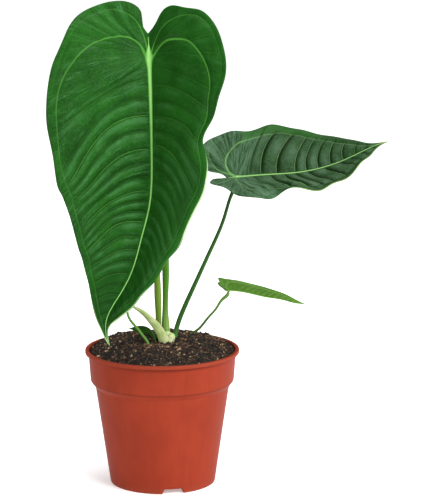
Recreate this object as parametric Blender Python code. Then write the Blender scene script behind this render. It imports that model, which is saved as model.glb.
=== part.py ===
"""Potted anthurium with two large heart-shaped leaves in a plastic nursery pot.

The frame has +Z up, +X to the right and +Y away from the front, with the
origin at the centre of the underside of the pot. Sizes are in millimetres
here and every mesh is built in metres. Each leaf is drawn flat, as half
widths along its midrib, then carried onto a midrib curve in space with the
two halves folded up from it.
"""
import bpy
import bmesh
import numpy as np
from math import cos, exp, pi, radians, sin

MM = 0.001
GAP = 0.3
SMOOTH_ANGLE = radians(38)

# pot
POT_SEGMENTS = 72
RIM_RADIUS = 70.0
POT_HEIGHT = 123.7
LIP_HEIGHT = 3.4
COLLAR_TOP_RADIUS = 67.0
COLLAR_FOOT_RADIUS = 65.2
COLLAR_FOOT_Z = 95.2
BODY_TOP_RADIUS = 60.9
BODY_TOP_Z = 89.8
FOOT_RADIUS = 48.0
WALL = 1.3
FOOT_RING = 2.6
CHANNEL_HEIGHT = 4.6
FLOOR_TOP = 6.1
HUB_RADIUS = 18.0
NOTCH_COUNT = 3
NOTCH_FIRST_ANGLE = -77.3
NOTCH_TOP_WIDTH = 15.0
NOTCH_FOOT_WIDTH = 21.0
DRAIN_COUNT = 6
DRAIN_RADIUS = 3.8
DRAIN_CIRCLE = 32.0

# soil
SOIL_SEGMENTS = 48
SOIL_EDGE_Z = 122.3
SOIL_RISE = 9.4
SOIL_BACK_RISE = 2.4
SOIL_BUMP = 0.5
SOIL_HILL_AT = (-45.0, 40.0)
SOIL_HILL_RISE = 2.4
SOIL_HILL_SPREAD = 20.0

# crown of the plant, an upright egg half sunk in the soil
CROWN_CENTRE = (4.0, -1.0, 131.0)
CROWN_RADII = (7.9, 8.0, 8.5)

# stems: points along the middle, then the radius at each point
LARGE_STEM = [(3.0, 0.0, 133.0), (3.1, 0.0, 142.0), (2.9, 1.0, 155.5), (3.3, 4.0, 186.0),
              (2.5, 7.0, 225.0), (0.0, 8.0, 280.0), (-4.0, 6.0, 335.0), (-6.6, 0.0, 372.0)]
LARGE_STEM_RADII = [4.0, 3.9, 2.85, 3.05, 3.0, 2.9, 2.8, 2.8, 2.9, 2.6]
SHOOT = [(-4.4, -1.8, 133.0), (-3.6, -1.8, 144.0), (-3.3, -1.5, 155.5), (-3.7, -1.0, 168.5),
         (-4.2, 0.0, 186.0), (-5.0, 1.0, 214.0), (-4.5, 1.5, 246.0)]
SHOOT_RADII = [2.6, 2.65, 2.75, 3.15, 3.05, 2.2, 0.5]
MEDIUM_STEM = [(10.9, 4.0, 131.5), (12.6, 4.6, 139.5), (22.8, 4.0, 167.0), (33.3, 3.0, 190.5),
               (42.65, 2.0, 211.5), (57.0, 1.5, 246.5), (62.8, 2.2, 265.0)]
MEDIUM_STEM_RADII = [2.25, 2.2, 2.1, 1.9, 1.77, 1.55, 1.6, 1.75, 1.65]
SMALL_STEM = [(21.5, 26.5, 126.5), (24.6, 27.2, 129.5), (32.0, 28.0, 134.5), (41.7, 30.0, 145.5),
              (49.0, 32.2, 153.5), (55.6, 35.2, 162.3)]
SMALL_STEM_RADII = [1.3, 1.25, 1.2, 1.15, 1.15, 1.4, 1.35, 1.1]
SEEDLING_STEM = [(-11.5, -12.6, 128.0), (-13.6, -12.2, 133.4), (-16.9, -12.0, 137.8),
                 (-21.5, -11.5, 144.0), (-26.5, -10.0, 149.5), (-30.0, -8.0, 154.5),
                 (-31.6, -5.0, 163.0), (-33.0, 0.0, 182.0), (-34.2, 1.5, 196.0)]
SEEDLING_STEM_RADII = [1.15, 1.15, 1.15, 1.2, 1.25, 1.2, 1.1, 1.0, 0.9, 0.85, 0.75]

# pale sheath leaf and low dark leaf: middle points, half widths, half
# thicknesses, and the direction that the width runs in
SHEATH = [(1.8, -10.3, 131.5), (-1.4, -11.3, 141.0), (-8.0, -12.0, 150.5), (-15.0, -12.4, 158.0),
          (-22.0, -12.3, 163.0), (-27.5, -12.0, 165.8)]
SHEATH_WIDTHS = [4.2, 4.3, 3.6, 2.65, 1.8, 0.9]
SHEATH_ACROSS = (0.65, -0.2, 0.75)
SHEATH_DEPTHS = [1.5, 1.7, 1.5, 1.1, 0.8, 0.3]
LOW_LEAF = [(-6.0, -7.8, 128.0), (-6.2, -7.3, 133.7), (-8.8, -5.6, 138.5), (-14.0, -4.2, 141.9),
            (-22.0, -3.2, 142.9), (-30.0, -2.4, 142.6)]
LOW_LEAF_WIDTHS = [1.3, 2.0, 3.4, 4.4, 3.4, 0.6]
LOW_LEAF_ACROSS = (0.1, 0.45, -0.89)
LOW_LEAF_DEPTHS = [0.7, 0.7, 0.7, 0.7, 0.6, 0.3]

# each leaf: midrib points from behind the stem joint to the tip, which of
# them is the joint, the direction its upper side faces, the fold of the two
# halves (along, left degrees, right degrees), how fast each half flattens
# outward (radians per millimetre), and the outline of each half from the
# notch between the lobes to the tip (along the midrib, out from it)
LARGE_LEAF = {
    "midrib": [(-13.0, 6.0, 437.5), (-9.5, -20.0, 394.5), (-7.5, -31.0, 342.0),
               (-7.0, -35.0, 300.0), (-9.5, -36.0, 261.5), (-16.5, -36.0, 233.5),
               (-25.5, -34.5, 202.5), (-37.0, -33.0, 180.0), (-49.0, -30.0, 156.0),
               (-49.5, -28.0, 144.5), (-46.5, -26.0, 132.0)],
    "joint": 1,
    "facing": (-0.208, -0.978, 0.0),
    "fold": [(-60, 26, 28), (0, 28, 34), (40, 28, 45), (75, 27, 52), (100, 26, 52),
             (150, 25, 50), (270, 22, 40)],
    "flatten": (-0.0018, -0.006),
    "left": [(-19, 0), (-27, 4.5), (-40, 5), (-48, 11), (-51.5, 23), (-48, 43), (-38, 62),
             (-16, 75), (7, 86), (32, 92), (61, 93), (87, 88.5), (128, 82.5), (150, 74),
             (168, 62.5), (212, 41), (236, 20), (249, 9), (258, 4), (266, 2), (273.1, 0)],
    "right": [(-19, 0), (-23, 7), (-31.5, 16), (-34.5, 28), (-28, 43), (-23, 57), (-11, 70),
              (8, 81), (36, 84), (60, 75.5), (76, 72), (97, 76.5), (109, 74), (124, 64),
              (147, 53.5), (173, 40), (200, 27), (220, 20), (237, 13.5), (250, 6.5), (258, 3.2),
              (266, 1.8), (273.1, 0)],
    "thickness": 1.0,
    "approach": 9.0,
    "rows": (18, 26),
    "columns": 7,
}
MEDIUM_LEAF = {
    "midrib": [(37.5, 0.0, 280.0), (66.5, 0.0, 281.0), (88.0, 2.0, 282.5), (110.0, 4.0, 283.5),
               (129.0, 5.0, 285.5), (143.5, 6.0, 288.5), (164.0, 7.0, 295.5),
               (181.0, 8.0, 303.5), (190.5, 8.0, 308.0), (203.5, 8.0, 312.5)],
    "joint": 1,
    "facing": (0.0, -0.545, 0.839),
    "fold": [(-40, 21, 22), (0, 21, 22), (120, 20, 20), (150, 10, 10)],
    "flatten": (-0.002, -0.003),
    "left": [(-8, 0), (-14, 0.6), (-20, 1.6), (-23, 6.5), (-17, 12), (-10, 17.5), (-4, 28),
             (2, 38), (10, 46.5), (23, 49.5), (34, 42), (45, 34), (57, 35.5), (70, 40),
             (84, 35.5), (97, 30), (111, 21.5), (121, 13), (130, 6), (136, 2.2), (142.5, 0)],
    "right": [(-8, 0), (-11, 3), (-17, 5.5), (-25, 8.5), (-31, 19), (-28, 38), (-16, 46.5),
              (4, 49.5), (18, 50), (26, 52), (36, 54), (48, 52.5), (64, 46), (84, 36),
              (103, 25), (118, 12.5), (128, 4), (136, 1.4), (142.5, 0)],
    "thickness": 0.9,
    "approach": 7.0,
    "rows": (11, 18),
    "columns": 6,
}
SMALL_LEAF = {
    "midrib": [(51.0, 37.0, 168.0), (60.0, 38.0, 169.0), (73.0, 39.0, 168.0),
               (83.5, 40.0, 165.5), (95.5, 41.0, 162.5), (110.5, 41.0, 160.0),
               (121.5, 41.0, 157.0), (131.0, 41.0, 156.0)],
    "joint": 1,
    "facing": (0.0, 0.34, 0.94),
    "fold": [(-20, 45, 45), (0, 45, 45), (80, 42, 42)],
    "flatten": (-0.004, -0.004),
    "left": [(-2.5, 0), (-4.5, 5), (-7, 11.5), (-7.8, 17.5), (-4, 16), (6, 13.2), (17, 11.6),
             (34, 11.2), (51, 7.8), (64, 4), (72.5, 0)],
    "right": [(-2.5, 0), (-4.5, 5), (-7, 11), (-7, 15.5), (-2, 15.5), (6, 15), (17, 14),
              (34, 12), (51, 7.8), (64, 4), (72.5, 0)],
    "thickness": 0.7,
    "approach": 2.5,
    "rows": (6, 10),
    "columns": 4,
}
SEEDLING_LEAF = {
    "midrib": [(-32.0, 3.0, 209.0), (-35.5, -1.0, 203.0), (-41.0, -5.5, 194.0),
               (-46.5, -8.5, 184.0), (-51.5, -9.5, 173.5)],
    "joint": 1,
    "facing": (-0.45, -0.85, 0.25),
    "fold": [(-10, 20, 20), (0, 20, 20), (40, 14, 14)],
    "flatten": (-0.005, -0.005),
    "left": [(-2.2, 0), (-5, 3), (-6.5, 7), (-4, 11), (2, 13), (9, 12), (17, 9), (26, 4),
             (34.4, 0)],
    "right": [(-2.2, 0), (-5, 3), (-6.5, 7), (-4, 11), (2, 13), (9, 12), (17, 9), (26, 4),
              (34.4, 0)],
    "thickness": 0.6,
    "approach": 4.0,
    "rows": (5, 8),
    "columns": 3,
}
VEIN_LAG = 0.55
VEIN_SWEEP = 0.6
LOBE_BOW = 0.09


def clear_scene():
    """Remove every object of the starting scene."""
    for obj in list(bpy.data.objects):
        bpy.data.objects.remove(obj, do_unlink=True)


def add_object(name, verts, faces, colour, roughness):
    """Make one object from millimetre points and face loops."""
    mesh = bpy.data.meshes.new(name)
    mesh.from_pydata([tuple(float(c) * MM for c in v) for v in verts], [], faces)
    bm = bmesh.new()
    bm.from_mesh(mesh)
    bmesh.ops.remove_doubles(bm, verts=bm.verts, dist=0.00002)
    bmesh.ops.recalc_face_normals(bm, faces=bm.faces)
    bm.to_mesh(mesh)
    bm.free()
    mesh.shade_smooth()
    mesh.set_sharp_from_angle(angle=SMOOTH_ANGLE)
    obj = bpy.data.objects.new(name, mesh)
    bpy.context.scene.collection.objects.link(obj)
    material = bpy.data.materials.new(name)
    material.use_nodes = True
    shader = material.node_tree.nodes["Principled BSDF"]
    shader.inputs["Base Color"].default_value = (*colour, 1.0)
    shader.inputs["Roughness"].default_value = roughness
    shader.inputs["Metallic"].default_value = 0.0
    mesh.materials.append(material)
    return obj


def cut(target, cutter):
    """Cut one object out of another and hide the cutter."""
    cutter.hide_render = True
    cutter.display_type = "WIRE"
    modifier = target.modifiers.new("cut_" + cutter.name, "BOOLEAN")
    modifier.operation = "DIFFERENCE"
    modifier.solver = "EXACT"
    modifier.object = cutter


def spline(knots, values, at):
    """Natural cubic curve through values at the knots, read at given places."""
    knots = np.asarray(knots, float)
    values = np.asarray(values, float).reshape(len(knots), -1)
    at = np.asarray(at, float)
    count = len(knots)
    step = np.diff(knots)
    system = np.eye(count)
    right = np.zeros_like(values)
    for i in range(1, count - 1):
        system[i, i - 1:i + 2] = (step[i - 1], 2 * (step[i - 1] + step[i]), step[i])
        slope_in = (values[i] - values[i - 1]) / step[i - 1]
        slope_out = (values[i + 1] - values[i]) / step[i]
        right[i] = 6 * (slope_out - slope_in)
    bend = np.linalg.solve(system, right)
    k = np.clip(np.searchsorted(knots, at, side="right") - 1, 0, count - 2)
    h = step[k][:, None]
    d = (at - knots[k])[:, None]
    first = (values[k + 1] - values[k]) / h - h * (2 * bend[k] + bend[k + 1]) / 6
    return values[k] + d * (first + d * (bend[k] / 2 + d * (bend[k + 1] - bend[k]) / (6 * h)))


def chord(points):
    """Distance along a run of points, starting at nought."""
    points = np.asarray(points, float)
    return np.r_[0, np.cumsum(np.linalg.norm(np.diff(points, axis=0), axis=1))]


def grid_faces(rows, columns, close=True):
    """Quads over rows of points, each row closed into a ring if asked."""
    faces = []
    last = columns if close else columns - 1
    for i in range(rows - 1):
        for j in range(last):
            k = (j + 1) % columns
            faces.append((i * columns + j, i * columns + k,
                          (i + 1) * columns + k, (i + 1) * columns + j))
    return faces


def revolve(name, profile, segments, colour, roughness, shape=None):
    """Turn a profile of (radius, height), axis to axis, about +Z."""
    verts = []
    for radius, height in profile:
        for j in range(segments):
            angle = 2 * pi * j / segments
            x = radius * cos(angle)
            y = radius * sin(angle)
            z = height + (shape(x, y, radius, height) if shape else 0.0)
            verts.append((x, y, z))
    faces = grid_faces(len(profile), segments)
    return add_object(name, verts, faces, colour, roughness)


def tube(name, points, widths, depths, colour, roughness, across=(0, 1, 0), sides=12,
         rings=16, grow=0.0, extend=0.0):
    """Sweep an ellipse along a smooth run of points, with flat ends."""
    points = np.asarray(points, float)
    t = chord(points)
    at = np.linspace(-extend, t[-1] + extend, rings)
    middle = spline(t, points, at)
    wide = spline(t, widths, np.clip(at, 0, t[-1]))[:, 0] + grow
    deep = spline(t, depths, np.clip(at, 0, t[-1]))[:, 0] + grow
    along = np.gradient(middle, axis=0)
    along /= np.linalg.norm(along, axis=1)[:, None]
    side = np.asarray(across, float) - along * (along @ np.asarray(across, float))[:, None]
    side /= np.linalg.norm(side, axis=1)[:, None]
    other = np.cross(along, side)
    verts = []
    for i in range(rings):
        for j in range(sides):
            angle = 2 * pi * j / sides
            verts.append(middle[i] + side[i] * wide[i] * cos(angle)
                         + other[i] * deep[i] * sin(angle))
    faces = grid_faces(rings, sides)
    faces.append(tuple(range(sides)))
    faces.append(tuple(range((rings - 1) * sides, rings * sides)))
    return add_object(name, verts, faces, colour, roughness)


class Blade:
    """One leaf blade: a midrib curve in space with a folded half each side."""

    def __init__(self, leaf):
        """Follow the midrib and keep its frame at close steps."""
        self.leaf = leaf
        points = np.asarray(leaf["midrib"], float)
        t = chord(points)
        fine = np.linspace(0, t[-1], 1201)
        self.curve = spline(t, points, fine)
        run = chord(self.curve)
        self.run = run - np.interp(t[leaf["joint"]], fine, run)
        self.along = np.gradient(self.curve, axis=0)
        self.along /= np.linalg.norm(self.along, axis=1)[:, None]
        facing = np.asarray(leaf["facing"], float)
        up = facing - self.along * (self.along @ facing)[:, None]
        self.up = up / np.linalg.norm(up, axis=1)[:, None]
        self.side = np.cross(self.up, self.along)

    def read(self, table, a):
        """Value of a per-step table at a distance along the midrib."""
        return np.stack([np.interp(a, self.run, table[:, i]) for i in range(3)], -1)

    def place(self, a, b, hand):
        """Point in space for a place along the midrib and out from it."""
        fold = np.asarray(self.leaf["fold"], float)
        column = 1 if hand < 0 else 2
        bend = self.leaf["flatten"][0 if hand < 0 else 1]
        phi = np.radians(np.interp(a, fold[:, 0], fold[:, column]))
        out = (np.sin(phi + bend * b) - np.sin(phi)) / bend
        rise = (np.cos(phi) - np.cos(phi + bend * b)) / bend
        past = np.minimum(a - self.run[0], 0)[..., None]
        base = self.read(self.curve, a) + self.read(self.along, a) * past
        return base + self.read(self.side, a) * (hand * out)[..., None] \
            + self.read(self.up, a) * rise[..., None]

    def half(self, hand):
        """Rows of points from the midrib out to the edge of one half."""
        outline = np.asarray(self.leaf["left" if hand < 0 else "right"], float)
        t = chord(outline)
        fine = np.linspace(0, t[-1], 1601)
        edge = spline(t, outline, fine)
        edge[:, 1] = np.maximum(edge[:, 1], 0)
        start = edge[:, 0] - VEIN_LAG * edge[:, 1]
        first = int(np.max(np.nonzero(start < 0)[0])) + 1
        lobe_rows, vein_rows = self.leaf["rows"]
        lobe_at = np.linspace(0, first, lobe_rows + 1)[:-1]
        rising = np.maximum.accumulate(start[first:])
        share = np.linspace(0, 1, vein_rows + 1)
        roots = outline[-1, 0] * share
        vein_at = np.interp(roots, rising, first + np.arange(len(rising)))
        vein_at[-1] = len(fine) - 1
        at = np.r_[lobe_at, vein_at]
        root = np.r_[np.zeros(lobe_rows), roots]
        index = np.arange(len(fine))
        ea = np.interp(at, index, edge[:, 0])[:, None]
        eb = np.interp(at, index, edge[:, 1])[:, None]
        v = np.linspace(0, 1, self.leaf["columns"] + 1)[None, :]
        sweep = 1 + VEIN_SWEEP * np.clip(root / (0.2 * outline[-1, 0]), 0, 1)[:, None]
        along_lobe = np.clip(np.arange(len(at)) / lobe_rows, 0, 1)[:, None]
        bow = LOBE_BOW * np.maximum(-ea, 0) * np.sin(pi * along_lobe) * np.sin(pi * v)
        a = root[:, None] + (ea - root[:, None]) * v ** sweep
        b = eb * v + bow
        return self.place(a, b, hand)

    def build(self, name, colour, roughness):
        """Make the closed blade, offset both ways from its middle surface."""
        bm = bmesh.new()
        for hand in (-1, 1):
            rows = self.half(hand)
            count, width = rows.shape[:2]
            verts = [bm.verts.new(p) for p in rows.reshape(-1, 3)]
            for loop in grid_faces(count, width, close=False):
                face = [verts[i] for i in (loop if hand > 0 else loop[::-1])]
                bm.faces.new(face)
        bmesh.ops.remove_doubles(bm, verts=bm.verts, dist=0.02)
        bmesh.ops.dissolve_degenerate(bm, edges=bm.edges, dist=0.02)
        bmesh.ops.triangulate(bm, faces=bm.faces)
        bm.normal_update()
        bm.verts.index_update()
        shift = self.leaf["thickness"] / 2
        count = len(bm.verts)
        points = [v.co + v.normal * shift for v in bm.verts]
        points += [v.co - v.normal * shift for v in bm.verts]
        faces = [tuple(v.index for v in f.verts) for f in bm.faces]
        faces += [tuple(v.index + count for v in reversed(f.verts)) for f in bm.faces]
        for edge in bm.edges:
            if edge.is_boundary:
                one, two = (v.index for v in edge.verts)
                faces.append((one, two, two + count, one + count))
        bm.free()
        return add_object(name, points, faces, colour, roughness)

    def stem_end(self, reach):
        """Point under the joint, a given distance below the middle surface."""
        joint = self.read(self.curve, np.array(0.0))
        return joint - self.read(self.up, np.array(0.0)) * reach


def stem(name, points, radii, blade, colour, roughness, rings):
    """A round stem up to just under a leaf, and the cutter for its socket."""
    path = list(points)
    if blade:
        under = blade.leaf["thickness"] / 2 + GAP + 0.15
        path.append(tuple(blade.stem_end(under + blade.leaf["approach"])))
        path.append(tuple(blade.stem_end(under)))
    obj = tube(name, path, radii, radii, colour, roughness, rings=rings)
    cutter = tube("socket_" + name, path, radii, radii, colour, roughness, rings=rings,
                  grow=GAP, extend=GAP)
    return obj, cutter


def soil_top(x, y, radius, height):
    """Extra height of the soil: a low mound, higher at the back, with a hill and swells."""
    if height < SOIL_EDGE_Z:
        return 0.0
    reach = radius / (RIM_RADIUS - 6.0)
    mound = SOIL_RISE * (1 - reach ** 3.5) + SOIL_BACK_RISE * y / RIM_RADIUS
    away = ((x - SOIL_HILL_AT[0]) ** 2 + (y - SOIL_HILL_AT[1]) ** 2) / SOIL_HILL_SPREAD ** 2
    mound += SOIL_HILL_RISE * exp(-away) * (1 - reach ** 8)
    return mound + SOIL_BUMP * sin(0.11 * x + 0.8) * cos(0.13 * y) * min(1.0, 4 * (1 - reach))


def build_pot():
    """The pot with its lip, collar, foot ring, notches and drain holes."""
    lip_z = POT_HEIGHT - LIP_HEIGHT
    inner = [(HUB_RADIUS, 0.0), (HUB_RADIUS + 0.8, CHANNEL_HEIGHT),
             (FOOT_RADIUS - FOOT_RING - 0.4, CHANNEL_HEIGHT), (FOOT_RADIUS - FOOT_RING, 0.0)]
    outer = [(FOOT_RADIUS - 0.8, 0.0), (FOOT_RADIUS, 0.7), (BODY_TOP_RADIUS, BODY_TOP_Z),
             (COLLAR_FOOT_RADIUS, COLLAR_FOOT_Z), (COLLAR_TOP_RADIUS, lip_z - 0.6),
             (RIM_RADIUS - 0.5, lip_z), (RIM_RADIUS, lip_z + 0.6),
             (RIM_RADIUS, POT_HEIGHT - 0.9), (RIM_RADIUS - 0.8, POT_HEIGHT)]
    inside = [(COLLAR_TOP_RADIUS - WALL + 1.0, POT_HEIGHT),
              (COLLAR_TOP_RADIUS - WALL, POT_HEIGHT - 1.0),
              (COLLAR_FOOT_RADIUS - WALL, COLLAR_FOOT_Z + 0.6),
              (BODY_TOP_RADIUS - WALL, BODY_TOP_Z + 0.6),
              (FOOT_RADIUS - WALL, FLOOR_TOP), (0.0, FLOOR_TOP)]
    pot = revolve("pot", [(0.0, 0.0)] + inner + outer + inside, POT_SEGMENTS,
                  (0.42, 0.065, 0.035), 0.42)
    reach = FOOT_RING + 3.0
    for i in range(NOTCH_COUNT):
        angle = radians(NOTCH_FIRST_ANGLE + 360.0 * i / NOTCH_COUNT)
        verts = []
        for z, width in ((-1.0, NOTCH_FOOT_WIDTH + 1.3), (CHANNEL_HEIGHT, NOTCH_TOP_WIDTH)):
            for r in (FOOT_RADIUS - reach, FOOT_RADIUS + 3.0):
                for hand in (-1, 1):
                    x = r * cos(angle) - hand * width / 2 * sin(angle)
                    y = r * sin(angle) + hand * width / 2 * cos(angle)
                    verts.append((x, y, z))
        faces = [(0, 1, 3, 2), (4, 6, 7, 5), (0, 4, 5, 1), (2, 3, 7, 6), (0, 2, 6, 4),
                 (1, 5, 7, 3)]
        cut(pot, add_object("notch_%d" % i, verts, faces, (0.5, 0.5, 0.5), 0.5))
    for i in range(DRAIN_COUNT):
        angle = radians(NOTCH_FIRST_ANGLE + 30.0 + 360.0 * i / DRAIN_COUNT)
        middle = (DRAIN_CIRCLE * cos(angle), DRAIN_CIRCLE * sin(angle))
        path = [(*middle, CHANNEL_HEIGHT - 2.0), (*middle, FLOOR_TOP + 0.2)]
        size = [DRAIN_RADIUS, DRAIN_RADIUS]
        cut(pot, tube("drain_%d" % i, path, size, size, (0.5, 0.5, 0.5), 0.5, sides=16,
                      rings=2))
    return pot


def build_soil():
    """The soil, clear of the pot by the gap all round."""
    wall = WALL + GAP
    profile = [(0.0, FLOOR_TOP + GAP), (FOOT_RADIUS - wall, FLOOR_TOP + GAP),
               (BODY_TOP_RADIUS - wall, BODY_TOP_Z + 0.6 + GAP),
               (COLLAR_FOOT_RADIUS - wall, COLLAR_FOOT_Z + 0.6 + GAP),
               (COLLAR_TOP_RADIUS - wall - 0.3, SOIL_EDGE_Z - 1.5)]
    profile += [(r, SOIL_EDGE_Z) for r in (63.5, 60.0, 54.0, 46.0, 37.0, 28.0, 19.0, 10.0, 0.0)]
    return revolve("soil", profile, SOIL_SEGMENTS, (0.035, 0.022, 0.016), 0.95, soil_top)


def egg(name, grow, colour, roughness):
    """The crown body, or the same body grown outward as a cutter."""
    profile = []
    for i in range(9):
        angle = pi * i / 8 - pi / 2
        profile.append((cos(angle) if 0 < i < 8 else 0.0, sin(angle)))
    obj = revolve(name, profile, 20, colour, roughness)
    for vertex in obj.data.vertices:
        for axis in range(3):
            size = (CROWN_RADII[axis] + grow) * MM
            vertex.co[axis] = vertex.co[axis] / MM * size + CROWN_CENTRE[axis] * MM
    return obj


def main():
    """Build every node of the plant and its pot."""
    clear_scene()
    build_pot()
    soil = build_soil()
    crown = egg("crown", 0.0, (0.62, 0.66, 0.38), 0.5)
    cut(soil, egg("crown_seat", GAP, (0.5, 0.5, 0.5), 0.5))

    large = Blade(LARGE_LEAF)
    medium = Blade(MEDIUM_LEAF)
    small = Blade(SMALL_LEAF)
    seedling = Blade(SEEDLING_LEAF)
    large.build("large_leaf_blade", (0.02, 0.13, 0.015), 0.38)
    medium.build("medium_leaf_blade", (0.025, 0.11, 0.03), 0.4)
    small.build("small_leaf_blade", (0.09, 0.26, 0.03), 0.42)
    seedling.build("seedling_leaf_blade", (0.06, 0.22, 0.03), 0.42)

    stems = [
        (stem("large_leaf_stem", LARGE_STEM, LARGE_STEM_RADII, large, (0.1, 0.3, 0.02), 0.4, 26),
         (crown,)),
        (stem("new_shoot", SHOOT, SHOOT_RADII, None, (0.3, 0.45, 0.08), 0.42, 16), (crown,)),
        (stem("medium_leaf_stem", MEDIUM_STEM, MEDIUM_STEM_RADII, medium, (0.04, 0.15, 0.02),
              0.4, 20), (crown, soil)),
        (stem("small_leaf_stem", SMALL_STEM, SMALL_STEM_RADII, small, (0.12, 0.28, 0.04), 0.42,
              14), (soil,)),
        (stem("seedling_leaf_stem", SEEDLING_STEM, SEEDLING_STEM_RADII, seedling,
              (0.2, 0.42, 0.08), 0.42, 20), (soil,)),
    ]
    for (_, cutter), bodies in stems:
        for body in bodies:
            cut(body, cutter)

    flat = [
        ("sheath_leaf", SHEATH, SHEATH_WIDTHS, SHEATH_DEPTHS, (0.55, 0.62, 0.32), 0.45,
         SHEATH_ACROSS, (crown, soil)),
        ("low_leaf", LOW_LEAF, LOW_LEAF_WIDTHS, LOW_LEAF_DEPTHS, (0.02, 0.07, 0.012), 0.4,
         LOW_LEAF_ACROSS, (soil,)),
    ]
    for name, path, widths, depths, colour, roughness, across, bodies in flat:
        tube(name, path, widths, depths, colour, roughness, across=across, sides=12, rings=14)
        cutter = tube("socket_" + name, path, widths, depths, colour, roughness,
                      across=across, sides=12, rings=14, grow=GAP, extend=GAP)
        for body in bodies:
            cut(body, cutter)


if __name__ == "__main__":
    main()
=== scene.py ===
"""Looks of a potted anthurium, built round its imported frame.

The frame has +Z up, +X towards the side leaf and -Y towards the front. Sizes
are held in millimetres and every mesh is written in metres. A leaf is drawn
flat, as distances along its midrib and out from it, and then carried onto a
midrib curve in space with its two halves folded up.
"""

import logging
from dataclasses import dataclass, field
from enum import Enum
from math import pi, radians
from typing import Any, Dict, List, Optional, Sequence, Tuple, Union

import bpy
import bmesh
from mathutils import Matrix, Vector
import numpy as np

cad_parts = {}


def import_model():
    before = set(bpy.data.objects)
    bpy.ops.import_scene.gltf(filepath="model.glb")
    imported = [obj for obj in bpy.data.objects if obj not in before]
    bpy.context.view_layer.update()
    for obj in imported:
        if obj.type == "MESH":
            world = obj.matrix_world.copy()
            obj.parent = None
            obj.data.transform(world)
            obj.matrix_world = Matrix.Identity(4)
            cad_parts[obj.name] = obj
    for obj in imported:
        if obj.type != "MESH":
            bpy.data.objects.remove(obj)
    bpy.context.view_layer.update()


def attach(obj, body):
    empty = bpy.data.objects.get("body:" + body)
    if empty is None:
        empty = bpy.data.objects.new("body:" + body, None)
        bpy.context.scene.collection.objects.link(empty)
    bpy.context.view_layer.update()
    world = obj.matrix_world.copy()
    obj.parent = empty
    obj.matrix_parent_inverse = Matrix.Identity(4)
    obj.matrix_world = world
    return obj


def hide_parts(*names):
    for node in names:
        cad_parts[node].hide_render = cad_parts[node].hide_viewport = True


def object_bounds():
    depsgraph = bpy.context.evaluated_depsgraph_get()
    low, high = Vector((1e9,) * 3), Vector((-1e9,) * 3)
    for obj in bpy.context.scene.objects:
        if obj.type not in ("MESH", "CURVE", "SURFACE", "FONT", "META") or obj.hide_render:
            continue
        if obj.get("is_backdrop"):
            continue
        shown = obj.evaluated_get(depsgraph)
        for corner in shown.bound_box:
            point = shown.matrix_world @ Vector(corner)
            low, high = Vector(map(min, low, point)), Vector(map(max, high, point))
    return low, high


LOG = logging.getLogger("anthurium")
MM = 0.001
BODY = "root"
# Steps along a midrib and round an outline, and points of a vein's run.
MIDRIB_STEPS = 1200
EDGE_STEPS = 2400
VEIN_POINTS = 160
# Every so many steps of the outline is kept to measure the way to the rim.
RIM_STRIDE = 12
# Swellings drawn between side veins before they come round again.
SWELL_CYCLE = 97
UPRIGHT = (0.0, 0.0, 1.0)
Array = np.ndarray
Colour = Tuple[float, float, float]
Point = Tuple[float, float, float]
Pair = Tuple[float, float]


class Hand(Enum):
    """Which half of a leaf, seen from above with the tip pointing away."""

    LEFT = -1
    RIGHT = 1


def both(value: Any) -> Dict[Hand, Any]:
    """The same value for either half."""
    return {Hand.LEFT: value, Hand.RIGHT: value}


# ---------------------------------------------------------------- arithmetic


def spline(knots: Array, values: Array, at: Array) -> Array:
    """Natural cubic curve through values at knots, read at other places.

    The second derivatives solve the usual three-term rows, nought at both
    ends, and each stretch is then the cubic with those bends.

    Args:
        knots: Rising places of the values.
        values: One row of numbers for each knot.
        at: Places to read.

    Returns:
        One row for each place.
    """
    knots = np.asarray(knots, float)
    values = np.asarray(values, float).reshape(len(knots), -1)
    at = np.asarray(at, float)
    count = len(knots)
    step = np.diff(knots)
    rows = np.arange(1, count - 1)
    system = np.eye(count)
    system[rows, rows - 1] = step[:-1]
    system[rows, rows] = 2 * (step[:-1] + step[1:])
    system[rows, rows + 1] = step[1:]
    slope = np.diff(values, axis=0) / step[:, None]
    right = np.zeros_like(values)
    right[1:-1] = 6 * np.diff(slope, axis=0)
    bend = np.linalg.solve(system, right)
    k = np.clip(np.searchsorted(knots, at, side="right") - 1, 0, count - 2)
    h = step[k][:, None]
    d = (at - knots[k])[:, None]
    first = slope[k] - h * (2 * bend[k] + bend[k + 1]) / 6
    return values[k] + d * (first + d * (bend[k] / 2 + d * (bend[k + 1] - bend[k]) / (6 * h)))


def chord(points: Array) -> Array:
    """Distance along a run of points, starting at nought."""
    return np.r_[0, np.cumsum(np.linalg.norm(np.diff(points, axis=0), axis=1))]


def ease(low: float, high: float, value: Array) -> Array:
    """Smooth step: nought below low, one above high, and 3t^2 - 2t^3 between."""
    t = np.clip((value - low) / (high - low), 0, 1)
    return t * t * (3 - 2 * t)


def unit(vectors: Array) -> Array:
    """Rows scaled to length one."""
    return vectors / np.maximum(np.linalg.norm(vectors, axis=-1, keepdims=True), 1e-12)


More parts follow.
